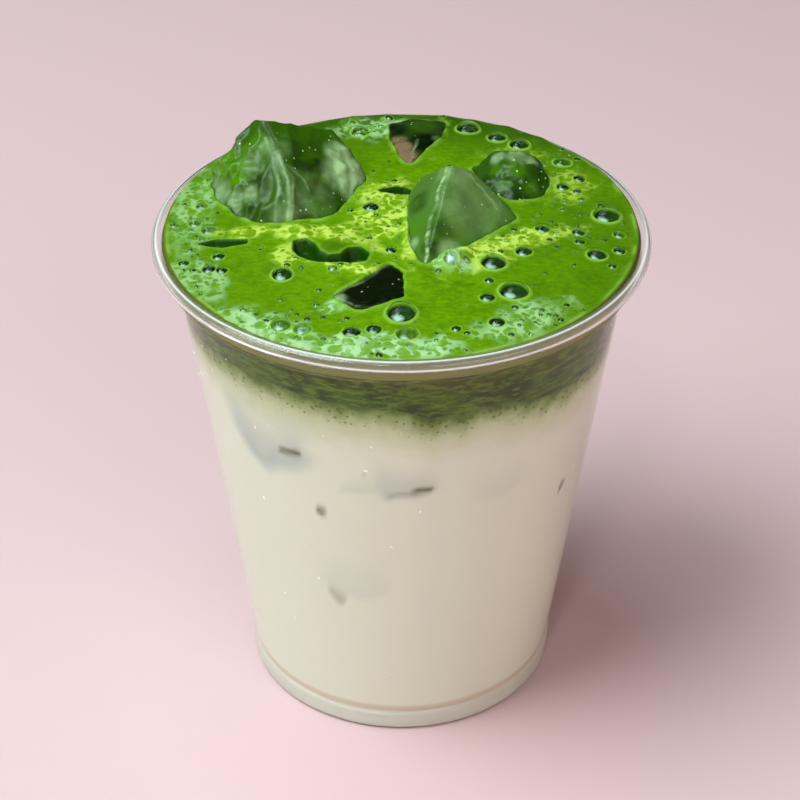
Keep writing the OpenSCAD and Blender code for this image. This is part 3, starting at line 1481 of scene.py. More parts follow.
def ice_chunks() -> list[IceChunk]:
    """List the six chunks of ice, with what each one shows.

    Returns:
        The chunks, not yet built.
    """
    return [
        IceChunk(
            "ice_left",
            IceLook.MISTY,
            blots=(
                Blot("relief", -34.0, 12.0, 109.0, 8.0, 0.9),
                Blot("relief", -33.0, 6.0, 106.0, 6.0, 1.0),
                Blot("relief", -12.0, 13.0, 106.0, 6.0, 0.5),
                Blot("lime", -35.0, 14.0, 109.5, 4.0, 1.0),
                Blot("lime", -32.5, 10.0, 110.0, 3.6, 0.9),
                Blot("lime", -31.0, 12.5, 112.5, 2.4, 0.5),
                Blot("lime", -28.0, 13.0, 115.0, 2.6, 0.5),
                Blot("lime", -17.0, 3.5, 105.0, 2.5, 0.6),
                Blot("lime", -37.5, 16.5, 107.5, 2.6, 0.7),
                Blot("frost", -36.0, 9.5, 105.0, 3.0, 0.5),
                Blot("frost", -33.0, 5.5, 106.0, 2.6, 0.46),
                Blot("frost", -30.0, 5.0, 107.5, 2.2, 0.37),
                Blot("frost", -37.0, 14.0, 105.5, 2.2, 0.37),
                Blot("frost", -29.5, 10.0, 112.0, 3.0, 0.15),
                Blot("dark", -31.5, 7.5, 108.0, 2.2, 0.95),
                Blot("dark", -28.0, 6.5, 109.0, 2.2, 0.8),
                Blot("dark", -35.0, 7.0, 105.0, 1.4, 0.9),
                Blot("dark", -28.5, 2.5, 104.5, 2.6, 0.6),
                Blot("dark", -20.5, 13.0, 113.0, 2.8, 0.5),
                Blot("dark", -16.5, 11.0, 110.5, 2.2, 1.0),
                Blot("dark", -18.0, 10.0, 111.5, 2.0, 1.0),
                Blot("dark", -20.0, 9.0, 112.0, 2.0, 1.0),
                Blot("dark", -17.0, 15.5, 112.5, 2.6, 0.4),
                Blot("dark", -16.5, 6.0, 107.5, 3.4, 0.3),
                Blot("dark", -14.0, 7.5, 106.0, 2.8, 0.3),
                Blot("frost", -18.0, 5.0, 107.0, 5.0, 0.16),
                Blot("dark", -20.0, 1.5, 104.5, 3.0, 0.5),
                Blot("lime", -15.0, 9.0, 109.0, 1.2, 0.7),
                Blot("frost", -11.0, 14.0, 108.0, 4.6, 1),
                Blot("frost", -9.5, 12.0, 106.0, 4.2, 1.3),
                Blot("frost", -12.5, 16.5, 110.0, 3.4, 0.9),
                Blot("frost", -13.5, 11.5, 108.0, 3.6, 0.45),
                Blot("frost", -22.5, 0.5, 105.0, 3.4, 0.25),
                Blot("frost", -25.0, 11.5, 114.0, 3.2, 0.19),
            ),
            creases=(
                Crease(
                    ((-27.0, 17.5), (-24.5, 10.5), (-22.0, 4.5), (-21.5, 1.0), (-22.0, -1.0)),
                    1.5, 0.45, 0.45, 0.0, 0.5,
                ),
                Crease(((-26.5, 13.5), (-24.5, 6.5), (-24.0, 3.0), (-24.0, -0.5)), 0.9, 0.25, 0.4, 0.0, 0.4),
                Crease(((-22.0, 7.5), (-19.5, 6.0), (-18.5, 4.5)), 0.8, 0.25, 0.4, 0.0, 0.4),
            ),
            dent=1.05,
            dent_size=6.0,
            crumple=0.3,
            voxel=0.33,
            seed=3,
        ),
        IceChunk(
            "ice_centre",
            IceLook.FROSTED,
            blots=(
                Blot("frost", 14.0, -1.0, 109.0, 8.0, 0.22),
                Blot("frost", 10.5, 3.0, 113.5, 4.0, 0.35),
                Blot("frost", 9.0, -4.0, 109.5, 2.6, 0.25),
                # Painted shadow: the next three dark blots lie just right of the ridge, on its side away
                # from the light.
                Blot("dark", 7.5, -8.5, 107.0, 2.6, 0.55),
                Blot("dark", 6.0, -12.0, 105.0, 2.2, 0.9),
                Blot("dark", 7.0, -5.5, 108.5, 1.2, 0.7),
                Blot("dark", 12.5, -2.0, 109.5, 3.0, 0.3),
                Blot("dark", 15.5, -5.0, 106.5, 3.2, 0.25),
                Blot("dark", 3.5, 0.5, 108.0, 3.0, 0.55),
                Blot("lime", 2.5, -5.5, 106.0, 2.8, 0.55),
                Blot("lime", 18.0, -3.5, 104.5, 3.0, 0.4),
                Blot("frost", 2.0, -9.0, 104.5, 1.6, 0.6),
                Blot("frost", 10.0, -13.0, 105.0, 3.2, 0.9),
            ),
            creases=(
                Crease(((9.0, 3.0), (7.5, -0.5), (5.5, -6.5), (4.5, -15.5)), 0.45, 0.25, 0.5, 0.9, 1.3),
                Crease(((13.5, 3.5), (16.0, 2.5), (18.5, 1.0)), 0.5, 0.1, 0.4, 0.3, 0.6),
            ),
            dent=0.4,
            dent_size=7.0,
            crumple=0.12,
            melt=3,
            seed=5,
        ),
        IceChunk(
            "ice_right",
            IceLook.WET,
            blots=(
                Blot("relief", 23.0, 17.0, 107.0, 8.0, 0.6),
                Blot("frost", 23.0, 18.0, 108.0, 2.6, 0.45),
                Blot("frost", 20.0, 18.0, 108.0, 1.8, 0.5),
                Blot("frost", 26.0, 18.0, 108.0, 1.8, 0.6),
                Blot("dark", 18.5, 12.5, 105.0, 3.0, 0.5),
                Blot("lime", 19.5, 15.0, 107.0, 1.6, 0.4),
                Blot("lime", 25.5, 11.0, 105.5, 1.6, 0.4),
                Blot("dark", 23.0, 9.0, 104.5, 3.4, 0.9),
                Blot("dark", 27.0, 15.5, 106.0, 2.4, 0.6),
                Blot("lime", 23.0, 14.5, 107.5, 2.0, 0.5),
                Blot("lime", 20.5, 11.5, 105.5, 1.6, 0.4),
            ),
            dent=0.35,
            dent_size=3.6,
            crumple=0.2,
            melt=1,
            swell=1.1,
            seed=8,
        ),
        IceChunk(
            "ice_back",
            IceLook.DARK,
            blots=(
                Blot("brown", 0.5, 25.5, 105.0, 3.0, 1.4),
                Blot("brown", 0.0, 29.5, 105.0, 2.4, 1.2),
                Blot("brown", -0.5, 32.5, 105.0, 1.8, 0.9),
                Blot("brown", 1.5, 22.0, 105.0, 2.0, 1.0),
                Blot("dark", 5.0, 31.5, 105.0, 3.6, 1.2),
                Blot("dark", -1.5, 37.0, 105.0, 3.0, 0.9),
                Blot("lime", 4.5, 38.5, 105.0, 3.0, 0.35),
                Blot("frost", 1.5, 21.0, 105.0, 1.2, 0.9),
                Blot("frost", 7.5, 33.5, 105.0, 1.2, 0.3),
            ),
            creases=(Crease(((3.0, 32.5), (2.5, 27.0), (2.0, 22.5)), 0.4, 0.15, 0.6, 0.0, 1.3),),
            dent=0.25,
            seed=4,
        ),
        IceChunk(
            "ice_front",
            IceLook.DARK,
            blots=(
                Blot("frost", -11.5, -28.0, 104.0, 1.5, 0.7),
                Blot("dark", -4.5, -23.5, 104.0, 7.5, 2.0),
            ),
            creases=(
                Crease(((-11.5, -26.0), (-6.5, -21.0), (-2.5, -16.0)), 0.6, 0.1, 0.6, 0.2, 0.6),
            ),
            dent=0.3,
            dent_size=2.5,
            seed=9,
        ),
        IceChunk(
            "ice_middle",
            IceLook.DARK,
            blots=(Blot("dark", -13.5, -12.5, 103.0, 9.0, 2.0),),
            dent=0.25,
            dent_size=3.0,
            sink=3.0,
            seed=6,
        ),
    ]


# -------------------------------------------------------------------- foam


@dataclass(frozen=True)
class Bubble:
    """A bubble standing open in the foam; a veiled one is pale inside."""

    x: float
    y: float
    r: float
    veiled: bool = False


@dataclass(frozen=True)
class Slot:
    """A gap of its own outline in the foam, with the dark liquid below it showing and painted shade in it.
    """

    outline: tuple[Point, ...]
    depth: float
    widen: float = 0.0


@dataclass(frozen=True)
class Mound:
    """A low heap of foam: its middle, reach and height."""

    x: float
    y: float
    reach: float
    height: float


@dataclass(frozen=True)
class BubbleField:
    """A patch of the foam with many small bubbles of like size."""

    x: float
    y: float
    across: float
    deep: float
    count: int
    smallest: float
    largest: float


class Tone(Enum):
    """Colour of a patch of froth."""

    LIME = "lime"
    MINT = "mint"


@dataclass(frozen=True)
class FrothPatch:
    """A patch of paler froth: its middle, reach, turn in degrees, colour and strength."""

    x: float
    y: float
    across: float
    deep: float
    turn: float
    tone: Tone
    strength: float

    def cover(self, x: np.ndarray, y: np.ndarray) -> np.ndarray:
        """Spread the patch over the top.

        Args:
            x: places across.
            y: places in depth.

        Returns:
            How much the patch covers each place, from 0 to its strength.
        """
        a = math.radians(self.turn)
        along = (x - self.x) * math.cos(a) + (y - self.y) * math.sin(a)
        across = (y - self.y) * math.cos(a) - (x - self.x) * math.sin(a)
        reach = np.hypot(along / self.across, across / self.deep)
        return self.strength * ramp(reach + 0.35 * Grain(2.6, 31).at(x, y), 1.15, 0.45)


@dataclass
class Foam:
    """The crown of foam: domed, rolled off at the rim and open in bubbles."""

    shape: CupShape
    low: float
    crown: float
    ice: list[IceChunk]
    crown_y: float = 20.0
    dome_r: float = 800.0
    rounding: float = 3.0
    into: float = 0.12
    grid: float = 0.52
    bubbles: list[Bubble] = field(default_factory=list)

    LARGE = (
        Bubble(40.5, 3.5, 2.6),
        Bubble(21.0, -25.0, 2.7),
        Bubble(17.5, -15.5, 2.4),
        Bubble(0.0, -32.0, 2.7),
        Bubble(1.0, -38.5, 2.0, True),
        Bubble(-9.0, -38.0, 1.7),
        Bubble(-5.0, -37.0, 1.4),
        Bubble(-22.0, -35.5, 1.8, True),
        Bubble(-18.0, -37.0, 1.6, True),
        Bubble(-22.5, -19.0, 1.9),
        Bubble(14.0, 38.5, 2.3),
        Bubble(-8.5, 36.5, 1.9, True),
        Bubble(20.0, 34.5, 1.9),
        Bubble(24.5, 31.5, 2.0),
        Bubble(37.5, -11.5, 1.9),
        Bubble(23.5, -11.0, 1.6),
        Bubble(27.5, -2.5, 1.4),
        Bubble(-6.0, 4.5, 1.6),
        Bubble(-35.0, -12.0, 1.2),
        Bubble(-36.5, -16.5, 1.3),
        Bubble(-34.0, -17.0, 1.1),
        Bubble(-41.5, -14.0, 1.1),
        Bubble(34.5, -3.5, 1.3),
        Bubble(36.0, 17.5, 1.2),
        Bubble(32.5, 14.0, 1.3),
        Bubble(33.0, 24.0, 1.8, True),
        Bubble(17.5, -35.0, 1.5),
        Bubble(16.0, -27.0, 1.4),
        Bubble(16.5, -21.5, 0.9),
        Bubble(34.5, -7.0, 1.0),
        Bubble(42.5, -3.5, 1.2, True),
        Bubble(42.0, -9.5, 1.2),
        Bubble(10.0, -37.0, 0.9),
        Bubble(-39.5, 6.5, 1.2, True),
        Bubble(-40.5, 0.5, 1.2, True),
        Bubble(-37.5, -2.5, 1.5, True),
        Bubble(-2.0, -11.0, 1.0),
        Bubble(-13.0, -17.5, 0.9, True),
        Bubble(-2.5, 43.0, 0.9),
        Bubble(9.5, -16.5, 1.5, True),
        Bubble(12.5, -15.5, 0.8, True),
        Bubble(7.0, -18.5, 0.7, True),
        Bubble(11.5, -18.0, 0.5, True),
    )
    FIELDS = (
        BubbleField(36, 6, 9, 22, 50, 0.3, 0.9),
        BubbleField(29, 28, 9, 8, 30, 0.3, 0.95),
        BubbleField(-39, -4, 6, 20, 60, 0.3, 0.95),
        BubbleField(-24, -33, 13, 7, 55, 0.28, 0.8),
        BubbleField(0, -39, 15, 5, 45, 0.28, 0.75),
        BubbleField(24, -31, 10, 7, 60, 0.26, 0.75),
        BubbleField(-4, 2, 8, 14, 36, 0.26, 0.7),
        BubbleField(-14, -15, 11, 4, 34, 0.28, 0.8),
        BubbleField(25, -8, 12, 6, 38, 0.28, 0.75),
        BubbleField(-2, 40, 16, 5, 24, 0.3, 0.9),
        BubbleField(0, 0, 44, 44, 50, 0.24, 0.5),
    )
    PATCHES = (
        FrothPatch(-3.5, 3, 6, 14, 0, Tone.LIME, 1.0),
        FrothPatch(2.0, -4, 2.2, 12, 0, Tone.LIME, 2.2),
        FrothPatch(-16, -5, 11, 3.5, 0, Tone.LIME, 1.0),
        FrothPatch(-30, -3.5, 7, 2.5, 0, Tone.LIME, 0.9),
        FrothPatch(-22, -12, 3, 6, 0, Tone.LIME, 0.8),
        FrothPatch(-10, -16.5, 10, 2.4, -12, Tone.LIME, 1.2),
        FrothPatch(24, -6.5, 15, 3.6, 25, Tone.LIME, 1.1),
        FrothPatch(16, -11.0, 8, 2.4, 25, Tone.LIME, 1.8),
        FrothPatch(14, -15.5, 8, 4, 20, Tone.LIME, 0.8),
        FrothPatch(34, 14, 6, 8, 0, Tone.LIME, 0.5),
        FrothPatch(24, 26, 8, 6, -30, Tone.LIME, 0.4),
        FrothPatch(-41, 6, 4.5, 20, 0, Tone.MINT, 0.5),
        FrothPatch(-38.5, -19, 5, 9, 25, Tone.MINT, 0.6),
        FrothPatch(-24, -36.5, 15, 5, -32, Tone.MINT, 1.1),
        FrothPatch(-22, -40.5, 16, 3.0, -27, Tone.MINT, 2.4),
        FrothPatch(-4, -42, 16, 4.5, -2, Tone.MINT, 1.4),
        FrothPatch(-6, -42.5, 13, 2.6, -4, Tone.MINT, 2.4),
        FrothPatch(23, -33.5, 11, 5, 38, Tone.MINT, 0.8),
        FrothPatch(-6, 39, 9, 6, 0, Tone.MINT, 0.8),
        FrothPatch(9.5, -16, 4.5, 3.5, 0, Tone.MINT, 1.6),
        FrothPatch(-12, -30, 3, 2, 0, Tone.MINT, 1.2),
    )
    SLOTS = (
        Slot(
            (
                (-20.5, -8.0), (-20.5, -10.5), (-19.5, -12.5), (-17.5, -14.0), (-14.5, -15.0),
                (-10.0, -15.0), (-7.0, -14.0), (-6.5, -12.0), (-8.0, -10.0), (-10.0, -10.5),
                (-11.5, -12.5), (-14.0, -13.0), (-16.0, -11.5), (-17.0, -9.0), (-18.5, -7.5),
            ),
            2.3,
            0.35,
        ),
        Slot(((-39.0, -7.0), (-36.0, -6.0), (-30.0, -6.5), (-30.0, -7.5), (-34.5, -8.5)), 1.4, 0.2),
        Slot(((-4.0, 11.0), (-1.0, 10.0), (2.5, 10.0), (0.5, 12.0), (-1.5, 12.0)), 1.8, 0.5),
    )
    MOUNDS = (
        Mound(9.5, -15.5, 3.6, 2.3),
        Mound(12.0, -13.0, 2.6, 1.2),
        Mound(-10.0, 42.5, 3.0, 0.7),
        Mound(-3.0, 43.5, 2.4, 0.8),
        Mound(9.0, 43.0, 3.0, 0.8),
        Mound(15.0, 41.5, 2.2, 0.6),
        Mound(22.0, 38.5, 3.0, 0.8),
        Mound(28.5, 34.0, 2.4, 0.7),
        Mound(-22.0, 37.0, 7.0, 0.4),
        Mound(-20.0, -4.0, 4.0, 0.9),
        Mound(-13.5, -9.0, 4.0, 0.5),
        Mound(3.0, -20.0, 3.0, 0.5),
    )

    # Rings of points: inwards from the brim, over each bubble as shares of its radius, and
    # inwards or outwards from the outlines of the slots and of the ice.
    BRIM_RINGS = (0.0, 0.12, 0.3, 0.55, 0.9, 1.4, 2.0, 2.7)
    BUBBLE_RINGS = (0.0, 0.4, 0.72, 0.9, 0.98, 1.04, 1.14, 1.34)
    SLOT_RINGS = (-0.8, -0.5, -0.2, 0.1, 0.4, 0.7)
    ICE_RINGS = (-1.2, -0.7, -0.35, -0.1, 0.15, 0.4, 0.8)
    # The least distance between two of those points, and from them to the grid's, in cells.
    CROWDED, GRID_GAP = 0.09, 0.55
    # How far from the brim the grid ends.
    GRID_INSET = 3.1
    # Bubbles with a film: the least radius, and the least of those that get a fine one.
    FILM_R, FINE_FILM_R = 0.32, 0.85

    @property
    def brim_r(self) -> float:
        """Distance from the axis at which the foam meets the plastic."""
        return self.shape.inner_face()[-1][0]

    def dome(self, x: np.ndarray, y: np.ndarray) -> np.ndarray:
        """Find the level of the smooth foam, with its round edge at the rim.

        Args:
            x: places across.
            y: places in depth.

        Returns:
            The height at each place.
        """
        level = self.crown - (x**2 + (y - self.crown_y) ** 2) / (2 * self.dome_r)
        off = np.clip(np.hypot(x, y) - (self.brim_r - self.rounding), 0, self.rounding)
        edge = self.shape.brim_z + np.sqrt(self.rounding**2 - off**2)
        return np.minimum(level, edge)

    def scatter(self) -> None:
        """Choose the bubbles: the large ones, then the fields, with none on another."""
        rng = np.random.default_rng(7)
        self.bubbles = list(self.LARGE)
        outlines = [self.pocket_outline(chunk) for chunk in self.standing()]
        outlines += [np.array(slot.outline) for slot in self.SLOTS]
        for patch in self.FIELDS:
            for _ in range(patch.count):
                x = patch.x + patch.across * np.clip(rng.normal(0, 0.55), -1.2, 1.2)
                y = patch.y + patch.deep * np.clip(rng.normal(0, 0.55), -1.2, 1.2)
                r = patch.smallest + (patch.largest - patch.smallest) * rng.random() ** 2.2
                veiled = rng.random() < 0.25
                clear = math.hypot(x, y) + r < self.brim_r - 0.9
                for other in self.bubbles:
                    clear &= math.hypot(x - other.x, y - other.y) > (r + other.r) * 1.12 + 0.05
                for outline in outlines:
                    away = depth_inside(np.array([x]), np.array([y]), outline)[0]
                    clear &= away < -r - 0.35
                if clear:
                    self.bubbles.append(Bubble(x, y, r, veiled))

    def pocket_outline(self, chunk: IceChunk) -> np.ndarray:
        """Find the outline of the pocket that a chunk of ice stands in.

        Args:
            chunk: the chunk.

        Returns:
            The outline's points in plan.
        """
        low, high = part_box(chunk.node)
        x, y = (low.x + high.x) / 2 / MM, (low.y + high.y) / 2 / MM
        level = float(self.dome(np.array(x), np.array(y)))
        return chunk.outline(level - 0.5)

    def plan(self) -> np.ndarray:
        """Lay out the top: a jittered grid, and rings round all that stands out.

        Returns:
            The points in plan.
        """
        rng = np.random.default_rng(19)
        edge_r = self.brim_r + self.into
        rings = []
        for inset in self.BRIM_RINGS:
            count = int(2 * math.pi * edge_r / (0.5 if inset < 1 else 0.7))
            turn = (np.arange(count) + (0.5 if inset else 0.0)) * 2 * math.pi / count
            rings.append((edge_r - inset) * circle(turn))
        for bubble in self.bubbles:
            step = 0.34 if bubble.r > 1 else 0.24
            for share in self.BUBBLE_RINGS:
                count = max(9, int(2 * math.pi * bubble.r * max(share, 0.5) / step))
                count = 1 if share == 0 else count
                turn = np.arange(count) * 2 * math.pi / count + share * 7
                rings.append(circle(turn) * bubble.r * share + (bubble.x, bubble.y))
        for slot in self.SLOTS:
            line = np.array(resampled([*slot.outline, slot.outline[0]], 0.3))[:-1]
            along = np.roll(line, -1, 0) - np.roll(line, 1, 0)
            across = np.stack([along[:, 1], -along[:, 0]], 1)
            across /= plan_length(across)[:, None]
            for shift in self.SLOT_RINGS:
                rings.append(line + across * shift)
        for chunk in self.standing():
            outline = self.pocket_outline(chunk)
            middle = outline.mean(0)
            off = outline - middle
            steps = int(2 * math.pi * plan_length(off).mean() / 0.34)
            pick = np.linspace(0, len(off), steps, endpoint=False)
            ring = np.stack(
                [np.interp(pick, range(len(off)), side, period=len(off)) for side in off.T], 1
            )
            for shift in self.ICE_RINGS:
                rings.append(middle + ring * (1 + shift / plan_length(ring))[:, None])
        strong = np.concatenate(rings)
        reach = int(edge_r / self.grid) + 2
        i, j = np.meshgrid(np.arange(-reach, reach + 1), np.arange(-reach, reach + 1))
        x = (i + 0.5 * (j % 2)).ravel() * self.grid
        y = j.ravel() * self.grid * math.sqrt(3) / 2
        loose = np.stack([x, y], 1) + rng.uniform(-0.1, 0.1, (x.size, 2)) * self.grid
        loose = loose[plan_length(loose) < edge_r - self.GRID_INSET]
        strong = strong[plan_length(strong) <= edge_r + 1e-6]
        return np.concatenate([self.thinned(strong), self.clear_of(loose, strong)])

    def thinned(self, points: np.ndarray) -> np.ndarray:
        """Drop the points that crowd an earlier one.

        Args:
            points: the rings' points in plan.

        Returns:
            Those that are left.
        """
        tree = plan_tree(points)
        dropped = np.zeros(len(points), bool)
        for n, (x, y) in enumerate(points):
            if dropped[n]:
                continue
            for _, other, _ in tree.find_range((x, y, 0.0), self.CROWDED):
                if other > n:
                    dropped[other] = True
        return points[~dropped]

    def clear_of(self, points: np.ndarray, strong: np.ndarray) -> np.ndarray:
        """Drop the grid's points that come near a ring's.

        Args:
            points: the grid's points in plan.
            strong: the rings' points in plan.

        Returns:
            Those of the grid that are left.
        """
        tree = plan_tree(strong)
        gap = self.grid * self.GRID_GAP
        return points[np.array([tree.find((x, y, 0.0))[2] > gap for x, y in points])]

    def build(self) -> None:
        """Lay the top over its plan, sculpt it, close it down the wall and paint it."""
        self.scatter()
        plan = [Vector(p) for p in self.plan()]
        flat, _, faces, _, _, _ = delaunay_2d_cdt(plan, [], [], 0, 1e-5)
        xy = np.array([(p.x, p.y) for p in flat])
        x, y = xy[:, 0], xy[:, 1]
        z, paints = self.sculpted(x, y)
        points = np.column_stack([x, y, z])
        rho = np.hypot(x, y)
        ring = np.nonzero(rho > rho.max() - 1e-3)[0]
        ring = ring[np.argsort(np.arctan2(y[ring], x[ring]))]
        wall = [p for p in self.shape.inner_face(self.into) if p[1] > self.low]
        foot = float(self.shape.wall_radius(np.array(self.low), self.into))
        chain = resampled([*reversed(wall), (foot, self.low)], 0.6)
        points[ring, 2] = chain[0][1]
        faces = [list(face) for face in faces]
        turn = np.arctan2(y[ring], x[ring])
        before, count = list(ring), len(points)
        layers = [points]
        for r, level in chain[1:]:
            layers.append(
                np.column_stack([r * np.cos(turn), r * np.sin(turn), np.full(len(turn), level)])
            )
            here = list(range(count, count + len(turn)))
            for a, b, c, d in zip(
                before, before[1:] + before[:1], here[1:] + here[:1], here
            ):
                faces.append([a, d, c, b])
            before, count = here, count + len(turn)
        layers.append(np.array([[0.0, 0.0, self.low]]))
        faces += [[b, a, count] for a, b in zip(before, before[1:] + before[:1])]
        foam = mesh_piece("foam_crown", np.concatenate(layers), faces)
        below = count + 1 - len(points)
        # The points down the wall get the side colour: painted shade and reflections of the collar over the
        # foam.
        for name, values in paints.items():
            extra = np.full(below, 1.0 if name == "side" else 0.0)
            paint(foam, name, np.concatenate([values, extra]))
        close_up(foam, 0.0005)
        smooth(foam)
        settle(foam, MatchaFroth().make(), "foam")
        self.films()

    def sculpted(self, x: np.ndarray, y: np.ndarray) -> tuple[np.ndarray, dict]:
        """Heights and paint of the top.

        Args:
            x: places across.
            y: places in depth.

        Returns:
            The heights, and the paints by name.
        """
        rho = np.hypot(x, y)
        inward = self.brim_r + self.into - rho
        z = self.dome(x, y)
        froth = {tone.value: np.zeros(len(x)) for tone in Tone}
        for patch in self.PATCHES:
            name = patch.tone.value
            froth[name] = np.maximum(froth[name], patch.cover(x, y))
        calm = ramp(inward, 0.0, 3.0)
        z = z + calm * (0.28 * Grain(11, 1).at(x, y) + 0.14 * Grain(4.2, 2).at(x, y))
        z = z + calm * 0.045 * Grain(1.3, 3).at(x, y)
        for mound in self.MOUNDS:
            off = np.hypot(x - mound.x, y - mound.y) / mound.reach
            z = z + ramp(inward, 0.0, 1.5) * mound.height * np.exp(-2.2 * off**2)
        pale = np.maximum(froth["lime"], froth["mint"])
        z = z + calm * pale * (0.12 + 0.12 * np.abs(Grain(0.9, 4).at(x, y)))
        pit, lip, glint = np.zeros(len(x)), np.zeros(len(x)), np.zeros(len(x))
        for bubble in self.bubbles:
            near = np.nonzero(
                (np.abs(x - bubble.x) < bubble.r * 1.7) & (np.abs(y - bubble.y) < bubble.r * 1.7)
            )[0]
            t = np.hypot(x[near] - bubble.x, y[near] - bubble.y) / bubble.r
            bowl = -0.42 * bubble.r * np.sqrt(np.clip(1 - t**2, 0, 1))
            raised = min(0.3, 0.16 * bubble.r) * np.exp(-(((t - 1.06) / 0.16) ** 2))
            z[near] += np.where(t < 1, bowl, 0) + raised
            # Pit: the dark liquid in the bubble, with painted shade that deepens its shallow bowl; a veiled
            # one gets less.
            inside = ramp(t, 1.0, 0.9) * (0.4 if bubble.veiled else 1.0)
            inside *= min(1.0, 0.6 + 0.5 * bubble.r)
            pit[near] = np.maximum(pit[near], inside)
            shine = np.exp(-(((t - 1.08) / 0.13) ** 2)) * min(1.0, 0.35 + 0.4 * bubble.r)
            lip[near] = np.maximum(lip[near], shine)
            lit_x = x[near] - bubble.x + bubble.r * 0.28
            lit_y = y[near] - bubble.y - bubble.r * 0.02
            lit = ramp(np.hypot(lit_x, lit_y) / bubble.r, 0.42, 0.24)
            glint[near] = np.maximum(glint[near], lit * min(1.0, 0.25 + 0.75 * bubble.r))
        broken = 0.35 + 0.5 * Grain(1.7, 8).at(x, y)
        for chunk in self.standing():
            inside = depth_inside(x, y, self.pocket_outline(chunk))
            deep = 3.5 if chunk.look in (IceLook.WET, IceLook.DARK) else 7.0
            z = z - np.minimum(deep, 1.3 * np.clip(inside, 0, None))
            z = z + 0.35 * np.exp(-((np.clip(inside, None, 0) / 0.6) ** 2)) * (inside < 0)
            # Pit: the dark liquid in the pocket under the ice, with painted shade that deepens inwards.
            pit = np.maximum(pit, ramp(inside, 0.3, 3.0))
            ring = np.clip(broken, 0, 1) * np.exp(-(((inside + 0.35) / 0.45) ** 2))
            lip = np.maximum(lip, ring)
        for slot in self.SLOTS:
            inside = depth_inside(x, y, np.array(slot.outline)) + slot.widen
            z = z - slot.depth * ramp(inside, -0.2, 1.3)
            # Pit: the dark liquid in the slot, with painted shade in the gap.
            pit = np.maximum(pit, 0.98 * ramp(inside, -0.4, 0.1))
            lip = np.maximum(lip, 0.4 * np.exp(-(((inside + 0.35) / 0.3) ** 2)))
        paints = {
            "lime": froth["lime"],
            "mint": froth["mint"],
            # Painted shade: darker towards the right, a little towards the left and most towards the back,
            # where less light falls; the blot near (-13, -10) is the thinner foam over the sunk chunk.
            "shade": np.clip(
                0.7 * np.exp(-(np.hypot((x + 13.0) / 4.0, (y + 10.2) / 1.9) ** 2))
                + 0.42 * ramp(x, 5, 42)
                + 0.24 * ramp(-x, 5, 40)
                + 1.0 * ramp(y, 20, 44),
                0,
                1,
            ),
            "pit": pit,
            "glint": glint,
            "film_edge": lip * ramp(inward, 0.4, 1.0),
            "rim_line": 0.6
            * np.exp(-(((inward - 0.95) / 0.35) ** 2))
            * np.clip(0.6 + Grain(3.0, 12).at(x, y), 0, 1),
            "wall_line": ramp(inward, 0.55, 0.3),
            "side": np.zeros(len(x)),
        }
        return z, paints

    def standing(self) -> list[IceChunk]:
        """Chunks that the foam leaves open; the sunk one lies under its skin."""
        return [chunk for chunk in self.ice if not chunk.sink]

    def films(self) -> None:
        """Domes over the bubbles: one cap, thickened, and copied to each bubble."""
        for name, keep, segments, rings in (
            ("bubble_films", lambda r: r > self.FINE_FILM_R, 28, 22),
            ("bubble_films_small", lambda r: self.FILM_R < r <= self.FINE_FILM_R, 10, 12),
        ):
            cap = self.cap(segments, rings)
            places, turns = [], []
            for bubble in (b for b in self.bubbles if keep(b.r)):
                level = float(self.dome(np.array(bubble.x), np.array(bubble.y)))
                places.append((bubble.x, bubble.y, level + 0.04 * bubble.r))
                turns.append(np.eye(3) * bubble.r * 1.02)
            piece = copies(name, cap, turns, np.array(places))
            smooth(piece, 60)
            settle(piece, BubbleFilm().make())

    def cap(self, segments: int, rings: int) -> bpy.types.Object:
        """One film: the cap of a sphere over a circle of radius 1 mm, with two faces.

        Args:
            segments: how many steps it has round.
            rings: how many steps the whole sphere has from pole to pole.

        Returns:
            The cap, standing on the plane through the origin.
        """
        spread = math.radians(68)
        ball_r = 1 / math.sin(spread)
        drop = ball_r * math.cos(spread)
        deselect_all()
        bpy.ops.mesh.primitive_uv_sphere_add(
            segments=segments, ring_count=rings, radius=ball_r * MM, location=(0, 0, -drop * MM)
        )
        cap = bpy.context.active_object
        bpy.ops.object.transform_apply(location=True, rotation=True, scale=True)
        with whole_mesh():
            bpy.ops.mesh.bisect(plane_co=(0, 0, 0), plane_no=(0, 0, 1), clear_inner=True)
        apply_modifier(cap, "SOLIDIFY", thickness=0.05 * MM, offset=1.0)
        return cap


def plan_tree(points: np.ndarray) -> KDTree:
    """Sort points in plan, so that the nearest to a place is quickly found.

    Args:
        points: the points.

    Returns:
        The tree, on the plane z = 0.
    """
    tree = KDTree(len(points))
    for n, (x, y) in enumerate(points):
        tree.insert((x, y, 0.0), n)
    tree.balance()
    return tree


def depth_inside(x: np.ndarray, y: np.ndarray, outline: np.ndarray) -> np.ndarray:
    """Distance inside a closed outline.

    Args:
        x: places across.
        y: places in depth.
        outline: the outline's points in plan, anticlockwise.

    Returns:
        The distance to the outline, positive inside it and negative outside.
    """
    spots = np.stack([x, y], 1)
    low, high = outline.min(0) - 3, outline.max(0) + 3
    near = np.all((spots > low) & (spots < high), axis=1)
    out = np.full(len(spots), -9.0)
    if not near.any():
        return out
    some = spots[near]
    away = np.full(len(some), 1e9)
    inside = np.zeros(len(some), bool)
    for a, b in zip(outline, np.roll(outline, -1, 0)):
        side = b - a
        t = np.clip((some - a) @ side / max(side @ side, 1e-12), 0, 1)
        away = np.minimum(away, np.linalg.norm(some - a - t[:, None] * side, axis=1))
        spans = (a[1] > some[:, 1]) != (b[1] > some[:, 1])
        cross = a[0] + (some[:, 1] - a[1]) / (side[1] if side[1] else 1e-12) * side[0]
        inside ^= spans & (some[:, 0] < cross)
    out[near] = np.where(inside, away, -away)
    return out


# --------------------------------------------------------------------- dew


